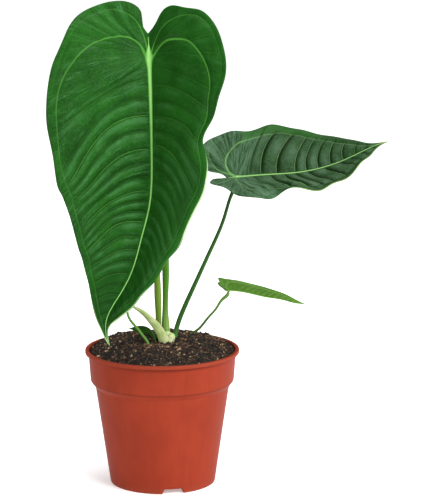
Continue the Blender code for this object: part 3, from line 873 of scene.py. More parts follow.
@dataclass
class Leaf:
    """One leaf blade: its midrib in space, its outline, veins and relief."""

    name: str
    midrib: Sequence[Point]
    joint: int
    facing: Point
    fold: Sequence[Tuple[float, float, float]]
    flatten: Pair
    left: Sequence[Pair]
    right: Sequence[Pair]
    finish: LeafFinish
    inner: Dict[Hand, Sequence[Pair]]
    outer: Dict[Hand, Sequence[Pair]]
    thickness: float = 0.55
    rib_width: Pair = (2.9, 0.6)
    rib_height: float = 0.9
    keel: float = 1.7
    lag: Dict[Hand, Pair] = field(default_factory=lambda: both((0.5, 0.5)))
    sweep: Dict[Hand, float] = field(default_factory=lambda: both(1.2))
    ribs: Dict[Hand, Sequence[Pair]] = field(default_factory=dict)
    curl: Dict[Hand, Pair] = field(default_factory=lambda: both((0.5, 0.5)))
    puff: Dict[Hand, float] = field(default_factory=lambda: both(1.0))
    lobe_calm: float = 0.0
    lit_strip_run: Dict[Hand, Sequence[Pair]] = field(default_factory=dict)
    pale_rim: Dict[Hand, Sequence[Tuple[float, float]]] = field(default_factory=dict)
    vein_fade: float = 110.0
    vein_show: Dict[Hand, float] = field(default_factory=lambda: both(1.0))
    spacing: float = 11.0
    quilt: float = 1.0
    bow: float = 0.09
    rows: Tuple[int, int] = (100, 200)
    columns: int = 56
    seed: int = 1

    def __post_init__(self) -> None:
        """Follow the midrib and keep its frame at close steps."""
        knots = np.asarray(self.midrib, float)
        t = chord(knots)
        fine = np.linspace(0, t[-1], MIDRIB_STEPS + 1)
        self.curve: Array = spline(t, knots, fine)
        run = chord(self.curve)
        self.run: Array = run - np.interp(t[self.joint], fine, run)
        self.length: float = float(self.run[-1])
        self.along: Array = unit(np.gradient(self.curve, axis=0))
        facing = np.asarray(self.facing, float)
        self.up: Array = unit(facing - self.along * (self.along @ facing)[:, None])
        self.side: Array = np.cross(self.up, self.along)
        self.draw = np.random.default_rng(self.seed)

    def read(self, table: Array, a: Array) -> Array:
        """Rows of a table at distances along the midrib."""
        return np.stack([np.interp(a, self.run, table[:, i]) for i in range(3)], -1)

    def width_at(self, a: Array) -> Array:
        """Half width of the midrib, thinning towards the tip.

        Args:
            a: Distances along the midrib.

        Returns:
            Half widths in millimetres.
        """
        wide, thin = self.rib_width
        share = np.clip(a / self.length, 0, 1)
        return thin + (wide - thin) * (1 - share) ** 1.6

    def place(self, a: Array, b: Array, hand: Hand) -> Array:
        """Carry flat places onto the folded leaf.

        A half leaves the midrib at its fold angle, and the angle changes
        evenly outward, so out and rise are the integrals of its cosine and
        sine. Close to the midrib the fold is rounded by a hyperbola.

        Args:
            a: Distances along the midrib.
            b: Distances out from it, nought or more.
            hand: Which half.

        Returns:
            Points in millimetres.
        """
        fold = np.asarray(self.fold, float)
        left = hand is Hand.LEFT
        bend = self.flatten[0 if left else 1]
        phi = np.radians(np.interp(a, fold[:, 0], fold[:, 1 if left else 2]))
        out = (np.sin(phi + bend * b) - np.sin(phi)) / bend
        least = 0.45 * self.width_at(a)
        soft = np.sqrt(b * b + least ** 2)
        rise = (np.cos(phi + bend * least) - np.cos(phi + bend * soft)) / bend + 0.5 * least
        past = np.minimum(a - self.run[0], 0)[..., None]
        base = self.read(self.curve, a) + self.read(self.along, a) * past
        return base + self.read(self.side, a) * (hand.value * out)[..., None] \
            + self.read(self.up, a) * rise[..., None]

    def facing_at(self, a: Array, b: Array, hand: Hand) -> Array:
        """Upward normal of the folded leaf, by small steps both ways.

        Args:
            a: Distances along the midrib.
            b: Distances out from it.
            hand: Which half.

        Returns:
            Unit vectors.
        """
        step = 0.4
        b = np.maximum(b, 0.05)
        da = self.place(a + step, b, hand) - self.place(a - step, b, hand)
        db = self.place(a, b + step, hand) - self.place(a, np.maximum(b - step, 0), hand)
        return unit(np.cross(da, db) * hand.value)

    def half_flat(self, hand: Hand) -> Dict[str, Array]:
        """Lay out one half as rows that run from the midrib to the edge.

        The rows of the lobe fan out from the joint. Each later row starts
        on the midrib and meets the edge further on, by a lag that grows
        with the half width, along the way of the side veins.

        Args:
            hand: Which half.

        Returns:
            Grids of places and of the numbers the finish reads.
        """
        outline = np.asarray(self.left if hand is Hand.LEFT else self.right, float)
        t = chord(outline)
        fine = np.linspace(0, t[-1], EDGE_STEPS + 1)
        edge = spline(t, outline, fine)
        edge[:, 1] = np.maximum(edge[:, 1], 0)
        edge[-1] = outline[-1]
        near_lag, far_lag = self.lag[hand]
        lag = near_lag + (far_lag - near_lag) * ease(0.25 * self.length, 0.5 * self.length,
                                                     edge[:, 0])
        start = edge[:, 0] - lag * edge[:, 1]
        first = int(np.max(np.nonzero(start < 0)[0])) + 1
        lobe_rows, vein_rows = self.rows
        lobe_at = np.linspace(0, first, lobe_rows + 1)[:-1]
        rising = np.maximum.accumulate(start[first:])
        roots = self.length * np.linspace(0, 1, vein_rows + 1)
        vein_at = np.interp(roots, rising, first + np.arange(len(rising)))
        vein_at[-1] = len(fine) - 1
        at = np.r_[lobe_at, vein_at]
        root = np.r_[np.zeros(lobe_rows), roots][:, None]
        index = np.arange(len(fine))
        ea = np.interp(at, index, edge[:, 0])[:, None]
        eb = np.interp(at, index, edge[:, 1])[:, None]
        ea[-1, 0] = self.length

        reach = np.hypot(ea - root, eb)
        rib = np.minimum(self.width_at(root), 0.3 * reach)
        near = np.array([0, 0.3, 0.6, 0.85, 1.0, 1.2, 1.6])[None, :]
        rest = np.linspace(0, 1, self.columns - near.shape[1] + 2)[None, 1:]
        rest = rest + 0.06 * np.sin(pi * rest) * rest
        first_part = near * rib / np.maximum(reach, 1e-6)
        last = first_part[:, -1:]
        v = np.concatenate([first_part, last + (1 - last) * rest], 1)
        v[-1] = np.linspace(0, 1, v.shape[1])

        grow = ease(0.0, 0.2 * self.length, root)
        calm = 1 - 0.35 * ease(0.6 * self.length, self.length, root)
        power = 1 + self.sweep[hand] * grow * calm
        lobe = np.clip(np.arange(len(at)) / lobe_rows, 0, 1)[:, None]
        bow = self.bow * np.maximum(-ea, 0) * np.sin(pi * lobe) * np.sin(pi * v)
        a = root + (ea - root) * v ** power
        b = eb * v + bow

        marks, force = self.side_veins(hand)
        order = np.interp(root[:, 0], marks, np.arange(len(marks)))
        trim = fine[-1] * (first - lobe_at) / (len(fine) - 1)
        order[:lobe_rows] = -trim / (self.spacing * 1.15)
        lateral = np.repeat(order[:, None], a.shape[1], 1)
        nearest = np.clip(np.round(order).astype(int), -1, len(force) - 1)
        strength = np.where(nearest < 0, 0.55, force[nearest])
        strength = np.repeat(strength[:, None], a.shape[1], 1)
        step_a, step_b = np.gradient(a, axis=0), np.gradient(b, axis=0)
        way_a, way_b = np.gradient(a, axis=1), np.gradient(b, axis=1)
        area = np.abs(step_a * way_b - step_b * way_a)
        per_row = np.abs(np.gradient(order))[:, None]
        pitch = area / np.maximum(np.hypot(way_a, way_b), 1e-4) / np.maximum(per_row, 1e-4)
        pitch = np.clip(pitch, 0.2, 30)
        return {"a": a, "b": b, "v": v, "order": lateral, "pitch": pitch, "force": strength,
                "edge_a": edge[::RIM_STRIDE, 0], "edge_b": edge[::RIM_STRIDE, 1],
                "lobe": np.repeat(1 - grow, a.shape[1], 1)}

    def side_veins(self, hand: Hand) -> Tuple[Array, Array]:
        """Roots of the side veins on the midrib and how strongly each shows.

        Given veins keep their places, and the gap between two of them is
        shared evenly by faint ones about one spacing apart.

        Args:
            hand: Which half.

        Returns:
            Rising roots, and a strength for each.
        """
        given = list(self.ribs.get(hand, [])) or [(0.12 * self.length, 0.5)]
        places, force = [0.0], [0.4]
        ends = given + [(self.length + self.spacing, 0.3)]
        for root, strength in ends:
            gap = root - places[-1]
            shrink = 1.0 - 0.35 * places[-1] / self.length
            count = max(1, int(round(gap / (self.spacing * shrink))))
            inner = np.arange(1, count) / count + self.draw.uniform(-0.1, 0.1, count - 1) / count
            for share in inner:
                places.append(float(root - gap * (1 - share)))
                force.append(float(self.draw.uniform(0.12, 0.42)))
            places.append(float(root))
            force.append(float(strength))
        return np.asarray(places), np.asarray(force)

    def half(self, hand: Hand) -> Dict[str, Array]:
        """Upper and under points of one half, with the finish's numbers.

        The blade is lifted between its side veins as a quilt, sunk along
        the basal veins, raised along the midrib, and keeled below it.

        Args:
            hand: Which half.

        Returns:
            Grids by name, the points among them.
        """
        g = self.half_flat(hand)
        a, b, v = g["a"], g["b"], g["v"]
        flat = np.stack([a, b], -1).reshape(-1, 2)

        def reach(line: Sequence[Pair]) -> Tuple[Array, Array]:
            """Signed distance of every place from a vein, and how far on."""
            far, on = signed_distance(flat, smooth_run(line))
            return far.reshape(a.shape), on.reshape(a.shape)

        (inner, inner_on), (outer, outer_on) = reach(self.inner[hand]), reach(self.outer[hand])
        rim = np.stack([g["edge_a"], g["edge_b"]], -1)
        edge = np.abs(signed_distance(flat, rim)[0]).reshape(a.shape)
        edge[:, -1] = 0
        notch = -0.8 * self.left[0][0]
        rib = np.hypot(b, np.minimum(a + notch, 0))
        width = self.width_at(np.maximum(a, 0)) * (1 - 0.84 * ease(-1.0, 0.7 * notch, -a))
        width = width * (1 + 0.50 * np.exp(-((a - self.rib_width[0] * 1.3)
                                             / (self.rib_width[0] * 2.0)) ** 2))
        width = np.maximum(np.minimum(width, 0.3 * np.repeat(np.hypot(
            a[:, -1:], b[:, -1:] + 3), a.shape[1], 1)), 0.25)

        inside = ease(-1.0, 1.5, self._inside(inner, hand))
        fan = g["lobe"]
        shown = (1 - ease(0.86, 0.97, v)) * ease(1.0, 3.0, rib / width)
        shown *= 1 - fan * np.minimum(0.55 + 0.25 * inside + self.lobe_calm, 1)
        past = 1 - inside
        shown *= 1 - 0.45 * past * (1 - fan)

        beat = g["order"] - np.floor(g["order"])
        cell = np.floor(g["order"]).astype(int) % SWELL_CYCLE
        swell = self.draw.uniform(0.5, 1.35, SWELL_CYCLE)[cell]
        peak = 0.34
        climb = 1 - (1 - np.minimum(beat / peak, 1)) ** 2
        puff = np.where(beat < peak, climb, 1 - ((beat - peak) / (1 - peak)) ** 2)
        puff = puff * swell * np.clip(g["pitch"] / 8, 0, 1)
        full = ease(3.0, 30.0, np.repeat(g["b"][:, -1:], a.shape[1], 1))
        full *= self.puff[hand] * (1 - 0.72 * ease(0.5, 0.85, a / self.length))
        patchy = 0.75 + 0.45 * lattice_noise(a + 90, b * hand.value + 90, 38.0, self.seed + 3)
        lift = self.quilt * puff * full * patchy * ease(0.02, 0.22, v)
        lift *= 1 - ease(0.78, 0.97, v)
        lift *= 1 - min(0.6 + self.lobe_calm, 1) * fan
        groove = np.exp(-(inner / 2.2) ** 2) + 0.6 * np.exp(-(outer / 1.8) ** 2)
        lift -= 0.55 * self.quilt * groove * ease(2.0, 7.0, rib) * ease(0.5, 5.0, edge)
        swells = lattice_noise(a + 300, b * hand.value + 300, 17.0, self.seed + 5)
        lift += 0.7 * self.quilt * swells * ease(3.0, 15.0, rib)
        streak = lattice_noise(g["order"] * 4.0 + 40, v * 2.4 + 7, 1.0, self.seed + 9)
        lift += 0.16 * self.quilt * full * streak * ease(0.0, 0.2, v) * (1 - ease(0.85, 1.0, v)) \
            * np.clip(g["pitch"] / 8, 0, 1)
        ripple = np.sin(a * 2 * pi / 34.0 + hand.value) * ease(12.0, 0.0, edge)
        lift += 0.5 * self.quilt * ripple * ease(8.0, 25.0, b)
        turned = np.clip(1 - edge / 9.0, 0, 1) ** 2
        first_curl, last_curl = self.curl[hand]
        curl = first_curl + (last_curl - first_curl) * ease(0.35, 0.6, a / self.length)
        lift -= curl * turned * ease(3.0, 12.0, b)
        lift *= ease(0.0, 5.0, b)

        ridge = np.clip(1 - (rib / (width * 1.02)) ** 2, 0, 1) ** 0.8
        ridge *= np.where(a < 0, ease(-1.2 * notch, 0.0, a), 1.0)
        small = width / self.rib_width[0]
        knob = np.exp(-(a * a + b * b) / (self.rib_width[0] * 1.15) ** 2)
        off = ease(0.0, 1.5, b)
        half = self.thickness / 2 * (1 - 0.35 * ease(2.0, 0.0, edge) * off)
        cord = np.exp(-(inner / 0.9) ** 2) * ease(0.5, 4.0, edge) * off
        thread = np.clip(1 - np.minimum(beat, 1 - beat) * g["pitch"] / 0.9, 0, 1) * shown * off
        top = half + self.rib_height * ridge * small ** 0.8 + self.rib_height * 0.9 * knob
        low = half + self.keel * ridge * small ** 0.8 + self.keel * 0.6 * knob \
            + 0.5 * self.quilt * cord + 0.22 * self.quilt * thread
        middle = self.place(a, b, hand)
        normal = self.facing_at(a, b, hand)
        turn = ease(0.0, 1.2, b)[..., None]
        normal = unit(self.read(self.up, a) * (1 - turn) + normal * turn)
        middle = middle + normal * lift[..., None]
        g.update(top=middle + normal * top[..., None], low=middle - normal * low[..., None],
                 inner=inner, outer=outer, edge=edge,
                 # Painted light: a brighter band inside the rim where the turned-up margin faces
                 # the lamps; lit_strip_run sets where along the midrib.
                 strip=ease(0.3, 1.6, -self._inside(inner, hand)) * ease(13.0, 8.0, edge)
                 * self.rim_shade(self.lit_strip_run, a, hand),
                 pale=self.rim_shade(self.pale_rim, a, hand),
                 inner_force=self.vein_show[hand] * (
                     0.30 + 0.70 * np.exp(-(inner_on / self.vein_fade) ** 2)),
                 outer_force=self.vein_show[hand] * (
                     0.12 + 0.70 * np.exp(-(outer_on / (0.6 * self.vein_fade)) ** 2)),
                 rib_far=rib, width=width, shown=shown)
        return g

    def rim_shade(self, table: Dict[Hand, Sequence[Pair]], a: Array, hand: Hand) -> Array:
        """How strong a mark near the rim is, read between places along the midrib."""
        given = np.asarray(table.get(hand, [(0, 0), (self.length, 0)]), float)
        return np.interp(a, given[:, 0], given[:, 1])

    def _inside(self, inner: Array, hand: Hand) -> Array:
        """Distance from the inner basal vein, positive towards the midrib."""
        return -inner if self._midrib_side(hand) < 0 else inner

    def _midrib_side(self, hand: Hand) -> float:
        """Sign that the inner vein's distance has beside the midrib."""
        probe = np.array([[0.45 * self.length, 1.0]])
        return float(signed_distance(probe, smooth_run(self.inner[hand]))[0][0])

    def shape(self) -> Shape:
        """Close the two halves, above and below, into one solid blade.

        Returns:
            The shape, with its own flat map for baking.
        """
        points: List[Array] = []
        faces: List[Array] = []
        maps: List[Array] = []
        numbers: Dict[str, List[Array]] = {}
        start = 0
        span_a = self.length + 60
        span_b = 2 * max(p[1] for p in list(self.left) + list(self.right)) + 12
        for hand in (Hand.LEFT, Hand.RIGHT):
            g = self.half(hand)
            rows, columns = g["a"].shape
            keep = rows * columns
            u = (g["b"] * hand.value / span_b + 0.5) * 0.47
            w = (g["a"] + 55) / span_a * 0.96
            for under, grid in ((0.0, g["top"]), (1.0, g["low"])):
                points.append(grid.reshape(-1, 3))
                quads = grid_quads(rows, columns, start=start)
                flip = (hand is Hand.RIGHT) == (under > 0.5)
                quads = quads if flip else quads[:, ::-1]
                faces.append(quads)
                flat_map = np.stack([u + 0.5 * under + 0.01, w + 0.01], -1).reshape(-1, 2)
                maps.append(flat_map[quads - start])
                values = {"under": np.full(keep, under), "rib": g["rib_far"],
                          "rib_width": g["width"], "edge": g["edge"], "lateral": g["order"],
                          "pitch": g["pitch"], "lateral_shown": g["shown"],
                          "force": g["force"], "inner_force": g["inner_force"],
                          "outer_force": g["outer_force"], "strip": g["strip"], "lobe": g["lobe"],
                          "pale_rim": g["pale"],
                          "along": g["a"] / self.length, "flat_a": g["a"],
                          "flat_b": g["b"] * hand.value, "vein_inner": g["inner"],
                          "vein_outer": g["outer"],
                          "inner_width": 0.45 + 0.75 * (1 - np.clip(g["a"] / self.length, 0, 1))
                          * np.exp(-np.hypot(g["a"], g["b"]) / 120)
                          + 0.6 * np.exp(-np.hypot(g["a"], g["b"]) / 14),
                          "outer_width": 0.4 + 0.75 * np.exp(-np.hypot(g["a"], g["b"]) / 30)}
                for key, value in values.items():
                    numbers.setdefault(key, []).append(np.asarray(value, float).ravel())
                start += keep
            low = start - keep
            up = low - keep
            ring = np.arange(rows - 1) * columns + columns - 1
            rim = np.stack([up + ring, up + ring + columns, low + ring + columns, low + ring], -1)
            rim = rim if hand is Hand.RIGHT else rim[:, ::-1]
            faces.append(rim)
            strip = np.zeros((len(rim), 4, 2))
            share = np.arange(len(rim)) / len(rim)
            strip[:, :, 0] = 0.01 + 0.95 * share[:, None]
            strip[:, 1:3, 0] += 0.95 / len(rim)
            strip[:, :, 1] = 0.978 + (0.01 if hand is Hand.RIGHT else 0.0)
            strip[:, 2:, 1] += 0.008
            maps.append(strip if hand is Hand.RIGHT else strip[:, ::-1])
        joined = {k: np.concatenate(v) for k, v in numbers.items()}
        return Shape(np.concatenate(points), list(np.concatenate(faces)), joined,
                     np.concatenate([m.reshape(-1, 2) for m in maps]))

    def build(self) -> bpy.types.Object:
        """Make the blade and dress it."""
        return make_piece(self.name.replace("_blade", ""), self.shape(), self.finish.material(),
                          (self.name,), turn_out=False)

    def under_joint(self, reach: float) -> Point:
        """Point under the joint, a distance below the middle surface.

        Args:
            reach: How far below, in millimetres.

        Returns:
            The point.
        """
        zero = np.array(0.0)
        point = self.read(self.curve, zero) - self.read(self.up, zero) * reach
        return tuple(float(c) for c in point)


@dataclass
class Stem:
    """A round leaf stem from the crown or soil up to its leaf."""

    name: str
    path: Sequence[Point]
    radii: Sequence[float]
    finish: Any
    leaf: Optional[Leaf] = None
    approach: float = 9.0
    cad_thickness: float = 1.0
    flutes: float = 0.05
    swelling: float = 0.10
    rings: int = 150
    sides: int = 40
    groove_turn: float = 0.6

    def shape(self) -> Shape:
        """Sweep a circle with shallow flutes, and round both ends.

        The radius is the smooth run of the given ones, times one plus a
        few small cosines of the turn, and times a quarter circle at each
        end, so the tube closes on itself.

        Returns:
            The shape.
        """
        path = list(self.path)
        if self.leaf:
            under = self.cad_thickness / 2 + 0.45
            path.append(self.leaf.under_joint(under + self.approach))
            path.append(self.leaf.under_joint(under - 0.25))
        track = Track(path)
        at = np.linspace(0, 1, self.rings)
        cap = min(2.0 / track.length, 0.02)
        ends = np.r_[np.linspace(0, cap, 6)[:-1], at[(at > cap) & (at < 1 - cap)],
                     np.linspace(1 - cap, 1, 6)[1:]]
        turn = np.linspace(0, 2 * pi, self.sides, endpoint=False)[None, :]
        radius = track.sizes(self.radii, ends)
        low = np.clip(ends / cap, 0, 1)
        high = np.clip((1 - ends) / cap, 0, 1)
        radius = radius * np.sqrt(np.clip(1 - (1 - low) ** 2, 0.0004, 1)) \
            * np.sqrt(np.clip(1 - (1 - high) ** 2, 0.04, 1))
        if self.leaf:
            joint = np.exp(-(((1 - ends) * track.length - 6) / 5.0) ** 2)
            radius = radius * (1 + self.swelling * joint)
        flute = 1 + self.flutes * (0.5 * np.cos(5 * turn + 4 * ends[:, None])
                                   + 0.4 * np.cos(9 * turn - 2 * ends[:, None]))
        flute = flute - 2.2 * self.flutes * np.exp(-((turn - self.groove_turn * pi) / 0.35) ** 2)
        wide = radius[:, None] * flute
        grid = track.sweep(ends, turn, wide, wide)
        faces = tube_faces(*grid.shape[:2])
        full = np.ones_like(wide)
        numbers = {"along": (full * ends[:, None]).ravel(),
                   "round_x": (full * np.cos(turn)).ravel(),
                   "round_y": (full * np.sin(turn)).ravel()}
        return Shape(grid.reshape(-1, 3), faces, numbers)

    def build(self) -> bpy.types.Object:
        """Make the stem and dress it."""
        title = self.name.replace("leaf_stem", "petiole").replace("new_shoot", "shoot")
        return make_piece(title, self.shape(), self.finish.material(),
                          (self.name,))


@dataclass
class Strap:
    """A flat tapering leaf, arched or boat-shaped, with a rounded edge."""

    name: str
    path: Sequence[Point]
    widths: Sequence[float]
    depths: Sequence[float]
    across: Point
    finish: Any
    hollow: float = 0.0
    ribs: int = 0
    rings: int = 90
    sides: int = 64

    def shape(self) -> Shape:
        """Sweep a flat ellipse whose middle line sags into a boat.

        The section is w cos, d sin; every point is then moved along the
        depth by hollow times the square of its place across, and fine ribs
        are added as a cosine of that place.

        Returns:
            The shape.
        """
        track = Track(self.path, self.across)
        at = 0.5 - 0.5 * np.cos(np.linspace(0.0, pi, self.rings))
        at = 0.35 * at + 0.65 * np.linspace(0, 1, self.rings)
        turn = np.linspace(0, 2 * pi, self.sides, endpoint=False)[None, :]
        wide = track.sizes(self.widths, at)[:, None]
        deep = track.sizes(self.depths, at)[:, None]
        place = np.cos(turn)
        rib = 1 + 0.14 * (np.cos(place * self.ribs * pi) if self.ribs else 0 * place)
        grid = track.sweep(at, turn, wide + 0 * turn, deep * rib)
        lift = self.hollow * (place ** 2 - 0.35) * wide
        grid = grid + track.read(track.other, at)[:, None, :] * lift[..., None]
        faces = tube_faces(*grid.shape[:2])
        full = np.ones_like(grid[..., 0])
        numbers = {"along": (full * at[:, None]).ravel(), "across": (full * place).ravel(),
                   "round_x": (full * place).ravel(), "round_y": (full * np.sin(turn)).ravel()}
        return Shape(grid.reshape(-1, 3), faces, numbers)

    def build(self) -> bpy.types.Object:
        """Make the strap and dress it."""
        title = self.name.replace("sheath_leaf", "sheath").replace("low_leaf", "low_strap")
        return make_piece(title, self.shape(), self.finish.material(),
                          (self.name,))


@dataclass
class Crown:
    """The base of the plant: pale swollen sheath ends and root nubs."""

    finish: SheathFinish = SheathFinish("crown_tissue", (0.70, 0.72, 0.48), (0.36, 0.52, 0.15),
                                        (0.42, 0.28, 0.16))
    bulbs: Sequence[Tuple[Point, Point]] = (
        ((4.0, -1.0, 131.0), (7.7, 7.8, 7.6)),
        ((8.0, -3.2, 134.8), (3.8, 4.0, 4.2)),
        ((3.2, -1.6, 135.6), (5.4, 4.6, 5.4)),
        ((-1.0, -3.0, 134.0), (2.8, 3.6, 4.6)),
        ((0.8, -7.4, 132.2), (4.0, 2.6, 4.4)),
    )

    def bulb(self, centre: Point, radii: Point, seed: int) -> Shape:
        """An egg with upright ribs: radius times one plus small cosines.

        Args:
            centre: Its middle.
            radii: Its half sizes.
            seed: Turns the ribs, so that no two are alike.

        Returns:
            The shape.
        """
        tall, wide = 40, 56
        lean = np.linspace(0, pi, tall)[:, None]
        turn = np.linspace(0, 2 * pi, wide, endpoint=False)[None, :]
        size = 1 + 0.035 * np.cos(7 * turn + seed) + 0.03 * np.cos(13 * turn - seed) \
            + 0.04 * np.sin(3 * lean + turn + seed)
        x = np.sin(lean) * np.cos(turn) * size
        y = np.sin(lean) * np.sin(turn) * size
        z = -np.cos(lean) + 0 * turn
        grid = np.stack([x, y, z], -1) * np.asarray(radii) + np.asarray(centre)
        faces = grid_quads(tall, wide, close=True)
        full = np.ones_like(x)
        numbers = {"along": (full * (0.15 + 0.5 * lean / pi)).ravel(),
                   "across": (full * np.abs(np.sin(3.5 * turn + seed)) * 0.8).ravel()}
        return Shape(grid.reshape(-1, 3), list(faces), numbers)

    def build(self) -> bpy.types.Object:
        """Make the crown from its swollen ends."""
        shapes = [self.bulb(c, r, i) for i, (c, r) in enumerate(self.bulbs)]
        return make_piece("crown_body", Shape.joined(shapes), self.finish.material(),
                          ("crown",))


@dataclass
class Pot:
    """Round tapered nursery pot with a stepped rim and notched foot."""

    rim: float = 70.0
    height: float = 123.7
    lip: float = 3.4
    collar_top: float = 67.0
    collar_foot: float = 65.2
    collar_z: float = 95.2
    body_top: float = 60.9
    body_z: float = 89.8
    foot: float = 48.0
    wall: float = 1.3
    ring: float = 2.6
    channel: float = 4.6
    floor: float = 6.1
    hub: float = 18.0
    notches: int = 3
    notch_angle: float = -77.3
    notch_widths: Pair = (15.0, 21.0)
    turns: int = 360
    finish: PotFinish = PotFinish()

    def profile(self) -> Array:
        """Half section from the middle of the underside round to the inside.

        Straight runs are cut into short steps, and each corner is rounded
        by a quadratic curve through its two neighbours.

        Returns:
            Rows of radius and height.
        """
        lip_z = self.height - self.lip
        corners = np.array([
            (0.0, 0.0, 0.0), (self.hub, 0.0, 0.4), (self.hub + 0.8, self.channel, 0.6),
            (self.foot - self.ring - 0.4, self.channel, 0.6),
            (self.foot - self.ring, 0.0, 0.3), (self.foot - 0.2, 0.0, 0.7),
            (self.body_top, self.body_z, 0.8), (self.collar_foot, self.collar_z, 1.2),
            (self.collar_top, lip_z - 0.3, 0.5), (self.rim, lip_z + 0.1, 0.5),
            (self.rim, self.height, 0.9), (self.collar_top - 0.3, self.height, 0.8),
            (self.collar_foot - self.wall, self.collar_z + 0.6, 1.0),
            (self.body_top - self.wall, self.body_z + 0.6, 1.0),
            (self.foot - self.wall, self.floor, 1.0), (0.0, self.floor, 0.0)])
        rows = [corners[:1, :2]]
        for i in range(1, len(corners) - 1):
            here, size = corners[i, :2], corners[i, 2]
            before, after = corners[i - 1, :2] - here, corners[i + 1, :2] - here
            one = here + unit(before[None])[0] * size
            two = here + unit(after[None])[0] * size
            t = np.linspace(0, 1, 6)[:, None]
            rows.append((1 - t) ** 2 * one + 2 * t * (1 - t) * here + t * t * two)
        rows.append(corners[-1:, :2])
        rough = np.concatenate(rows)
        run = chord(rough)
        extra = np.arange(0, run[-1], 3.0)
        at = np.unique(np.r_[run, extra])
        return np.stack([np.interp(at, run, rough[:, 0]), np.interp(at, run, rough[:, 1])], -1)

    def build(self) -> bpy.types.Object:
        """Turn the profile, lift the foot over the notches and dress it.

        Returns:
            The object.
        """
        profile = self.profile()
        turn = np.linspace(0, 2 * pi, self.turns, endpoint=False)
        r = np.repeat(profile[:, :1], self.turns, 1)
        z = np.repeat(profile[:, 1:], self.turns, 1)
        step = 2 * pi / self.notches
        off = (turn - radians(self.notch_angle) + step / 2) % step - step / 2
        arc = np.abs(off)[None, :] * self.foot
        narrow, broad = self.notch_widths
        cut = self.channel * (1 - ease(narrow / 2, broad / 2, arc))
        outer = (r > self.foot - self.ring - 1.0) & (z < self.channel) & (
            np.arange(len(profile))[:, None] < int(np.argmax(profile[:, 1] > self.body_z)))
        z = np.where(outer, np.maximum(z, np.minimum(cut, self.channel - 0.02)), z)
        wave = 0.10 * np.sin(2 * turn + 0.7) + 0.05 * np.sin(5 * turn)
        r = r + wave[None, :] * ease(60.0, 120.0, z) * (r > 1)
        grid = np.stack([r * np.cos(turn), r * np.sin(turn), z], -1)
        rows = len(profile)
        worn = np.maximum(ease(8.0, 0.0, z), ease(self.height - 5.0, self.height, z))
        inside = np.arange(rows)[:, None] > int(np.argmax(profile[:, 1])) + 6
        worn = np.where(inside, 1.0, worn)
        # Painted shadow lines on the outside: a dark band under the collar's foot and a fainter
        # one under the lip.
        collar_shadow = np.exp(-((z - self.collar_z + 0.2) / 0.5) ** 2)
        lip_shadow = 0.5 * np.exp(-((z - self.height + self.lip + 0.5) / 0.7) ** 2)
        seam = np.where(inside, 0.0, np.maximum(collar_shadow, lip_shadow))
        shape = Shape(grid.reshape(-1, 3), list(grid_quads(rows, self.turns, close=True)),
                      {"worn": worn.ravel(), "seam": seam.ravel()})
        return make_piece("pot_shell", shape, self.finish.material(), ("pot",))


